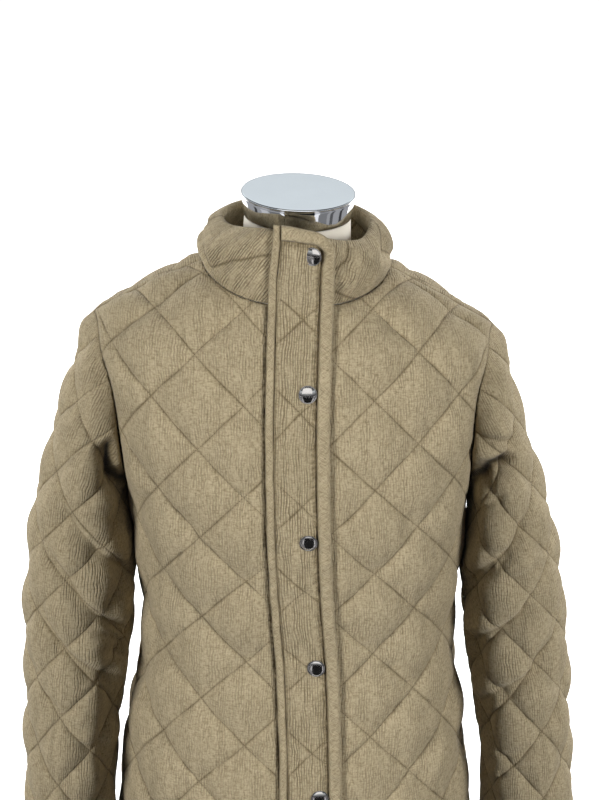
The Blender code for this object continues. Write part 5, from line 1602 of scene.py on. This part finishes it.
# name, place, size and watts, and the sleeve that the lamp leaves out or alone lights. The body
# hides each stand's main lamp from the sleeve on its far side. Sides are the wearer's.
LAMPS = (
    ("right_lamp", RIGHT_STAND, SIDE_LAMP, 87, ("left_sleeve", False)),
    ("left_lamp", LEFT_STAND, SIDE_LAMP, 82, ("right_sleeve", False)),
    ("right_sleeve_lamp", RIGHT_STAND, SIDE_LAMP, 20, ("right_sleeve", True)),
    ("left_sleeve_lamp", LEFT_STAND, SIDE_LAMP, 21, ("left_sleeve", True)),
    ("top_lamp", (0, -0.3, 3.1), (1.6, 1.6), 5, None),
    ("back_right_lamp", (-2.0, 2.6, 2.1), (1.4, 1.4), 95, None),
    ("back_left_lamp", (2.0, 2.6, 2.1), (1.4, 1.4), 95, None))
CAMERA_PITCH = math.radians(20.5)
CAMERA_DISTANCE = 2.4
CAMERA_LENS = 110.7
CAMERA_SENSOR = 36
CAMERA_SHIFT = 1.5 / 800
CAMERA_AIM = (0, -0.12, 0.795)


def glowing(name, points, faces, unseen_by, colour=WHITE, strength=1.0, body=BLACK, gloss=0.0):
    """A mesh of the studio that gives its own light. The kinds of ray named don't see it."""
    mesh = bpy.data.meshes.new(name)
    mesh.from_pydata(points, [], faces)
    made = bpy.data.objects.new(name, mesh)
    bpy.context.scene.collection.objects.link(made)
    for kind in unseen_by:
        setattr(made, "visible_" + kind, False)
    glow = Finish(name + "_glow", Base_Color=body, Roughness=0.9, Specular_IOR_Level=gloss,
                  Emission_Color=colour, Emission_Strength=strength)
    mesh.materials.append(glow.made)
    made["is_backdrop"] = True


def floor():
    """A plain white floor. It keeps its own brightness, and throws none of it up at the cloth."""
    corners = [(FLOOR_REACH * x, FLOOR_REACH * y, 0) for x, y in ((-1, -1), (1, -1), (1, 1), (-1, 1))]
    glowing("floor", corners, [(0, 1, 2, 3)], ["diffuse"], body=(0.9, 0.9, 0.9, 1), gloss=0.1)


def backdrop():
    """A plain white wall round the floor, seen by the camera alone, so that low views stay white."""
    turns = np.arange(WALL_SIDES) * 2 * math.pi / WALL_SIDES
    points = [(WALL_RADIUS * math.cos(a), WALL_RADIUS * math.sin(a), z)
              for z in (-0.01, WALL_TOP) for a in turns]
    ahead = [(k, (k + 1) % WALL_SIDES) for k in range(WALL_SIDES)]
    faces = [(a, WALL_SIDES + a, WALL_SIDES + b, b) for a, b in ahead]
    glowing("backdrop", points, faces, ["diffuse", "glossy", "shadow"])


def reflected_cards():
    """Cards of different greys laid round the stand, seen only in what shines: parts of rings."""
    for number, (start, stop, near, far, grey) in enumerate(CARDS, 1):
        turns = np.radians(np.linspace(start, stop, 9))
        rim = [(reach * math.sin(a), -reach * math.cos(a), 0.01 + 0.002 * number)
               for reach, way in ((near, turns), (far, turns[::-1])) for a in way]
        glowing(f"card_{number}", rim, [range(len(rim))], ["camera", "diffuse", "shadow"],
                (grey, grey, 1.04 * grey, 1))


def reflected_screen():
    """A bright screen arching over the front, seen only in what shines."""
    turns = np.radians(np.linspace(20, 62, 12))
    arch = [(side * SCREEN_HALF_WIDTH, -SCREEN_RADIUS * math.cos(a),
             SCREEN_CENTRE_Z + SCREEN_RADIUS * math.sin(a)) for a in turns for side in (-1, 1)]
    faces = [(k, k + 1, k + 3, k + 2) for k in range(0, len(arch) - 2, 2)]
    glowing("screen", arch, faces, ["camera", "diffuse", "shadow"], strength=1.5)


def soft_light(name, place, size, power, lights):
    """A lamp that is a glowing rectangle. lights, where given, is all that it reaches."""
    data = bpy.data.lights.new(name, "AREA")
    data.shape = "RECTANGLE"
    data.size, data.size_y = size
    data.energy = power
    made = bpy.data.objects.new(name, data)
    made.location = place
    made.rotation_euler = (Vector(CHEST) - Vector(place)).to_track_quat("-Z", "Y").to_euler()
    made.visible_glossy = False
    made.light_linking.receiver_collection = lights
    bpy.context.scene.collection.objects.link(made)


def lit(name, wanted):
    """A collection of the pieces whose names start with one word, or of all the others."""
    pieces = bpy.data.collections.new(f"lit_{name}_{wanted}")
    for item in bpy.context.scene.objects:
        if item.type == "MESH" and item.name.startswith(name) == wanted:
            pieces.objects.link(item)
    return pieces


def surroundings():
    """The studio, seen only in what shines: a bright cool belt part of the way up, and dark
    under and over it."""
    world = bpy.data.worlds.new("studio")
    world.use_nodes = True
    nodes, links = world.node_tree.nodes, world.node_tree.links
    way = nodes.new("ShaderNodeTexCoord")
    parts = nodes.new("ShaderNodeSeparateXYZ")
    links.new(way.outputs["Generated"], parts.inputs[0])
    ramp_node = nodes.new("ShaderNodeValToRGB")
    links.new(parts.outputs[2], ramp_node.inputs[0])
    stops = ramp_node.color_ramp.elements
    for number, (height, colour) in enumerate(SKY):
        stop = stops[number] if number < 2 else stops.new(height)
        stop.position, stop.color = height, (*colour, 1)
    links.new(ramp_node.outputs[0], nodes["Background"].inputs["Color"])
    nodes["Background"].inputs["Strength"].default_value = 1.0
    world.cycles_visibility.diffuse = False
    bpy.context.scene.world = world


def camera():
    """A camera in front of the chest and above it, looking down by its pitch."""
    data = bpy.data.cameras.new("camera")
    data.sensor_width, data.lens, data.shift_x = CAMERA_SENSOR, CAMERA_LENS, CAMERA_SHIFT
    made = bpy.data.objects.new("camera", data)
    away = Vector((0, -math.cos(CAMERA_PITCH), math.sin(CAMERA_PITCH)))
    made.location = Vector(CAMERA_AIM) + CAMERA_DISTANCE * away
    made.rotation_euler = (math.pi / 2 - CAMERA_PITCH, 0, 0)
    bpy.context.scene.collection.objects.link(made)
    bpy.context.scene.camera = made


floor()
backdrop()
reflected_cards()
reflected_screen()
surroundings()
for name, place, size, power, pieces in LAMPS:
    soft_light(name, place, size, power, lit(*pieces) if pieces else None)
camera()
bpy.context.scene.view_settings.view_transform = "Standard"

# ---- how big the solids and what is shown of them are ---------------------------------------
boxes = {"cad": CAD_BOX, "visual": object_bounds()}
boxes = {name: [[round(float(x), 5) for x in corner] for corner in box] for name, box in boxes.items()}
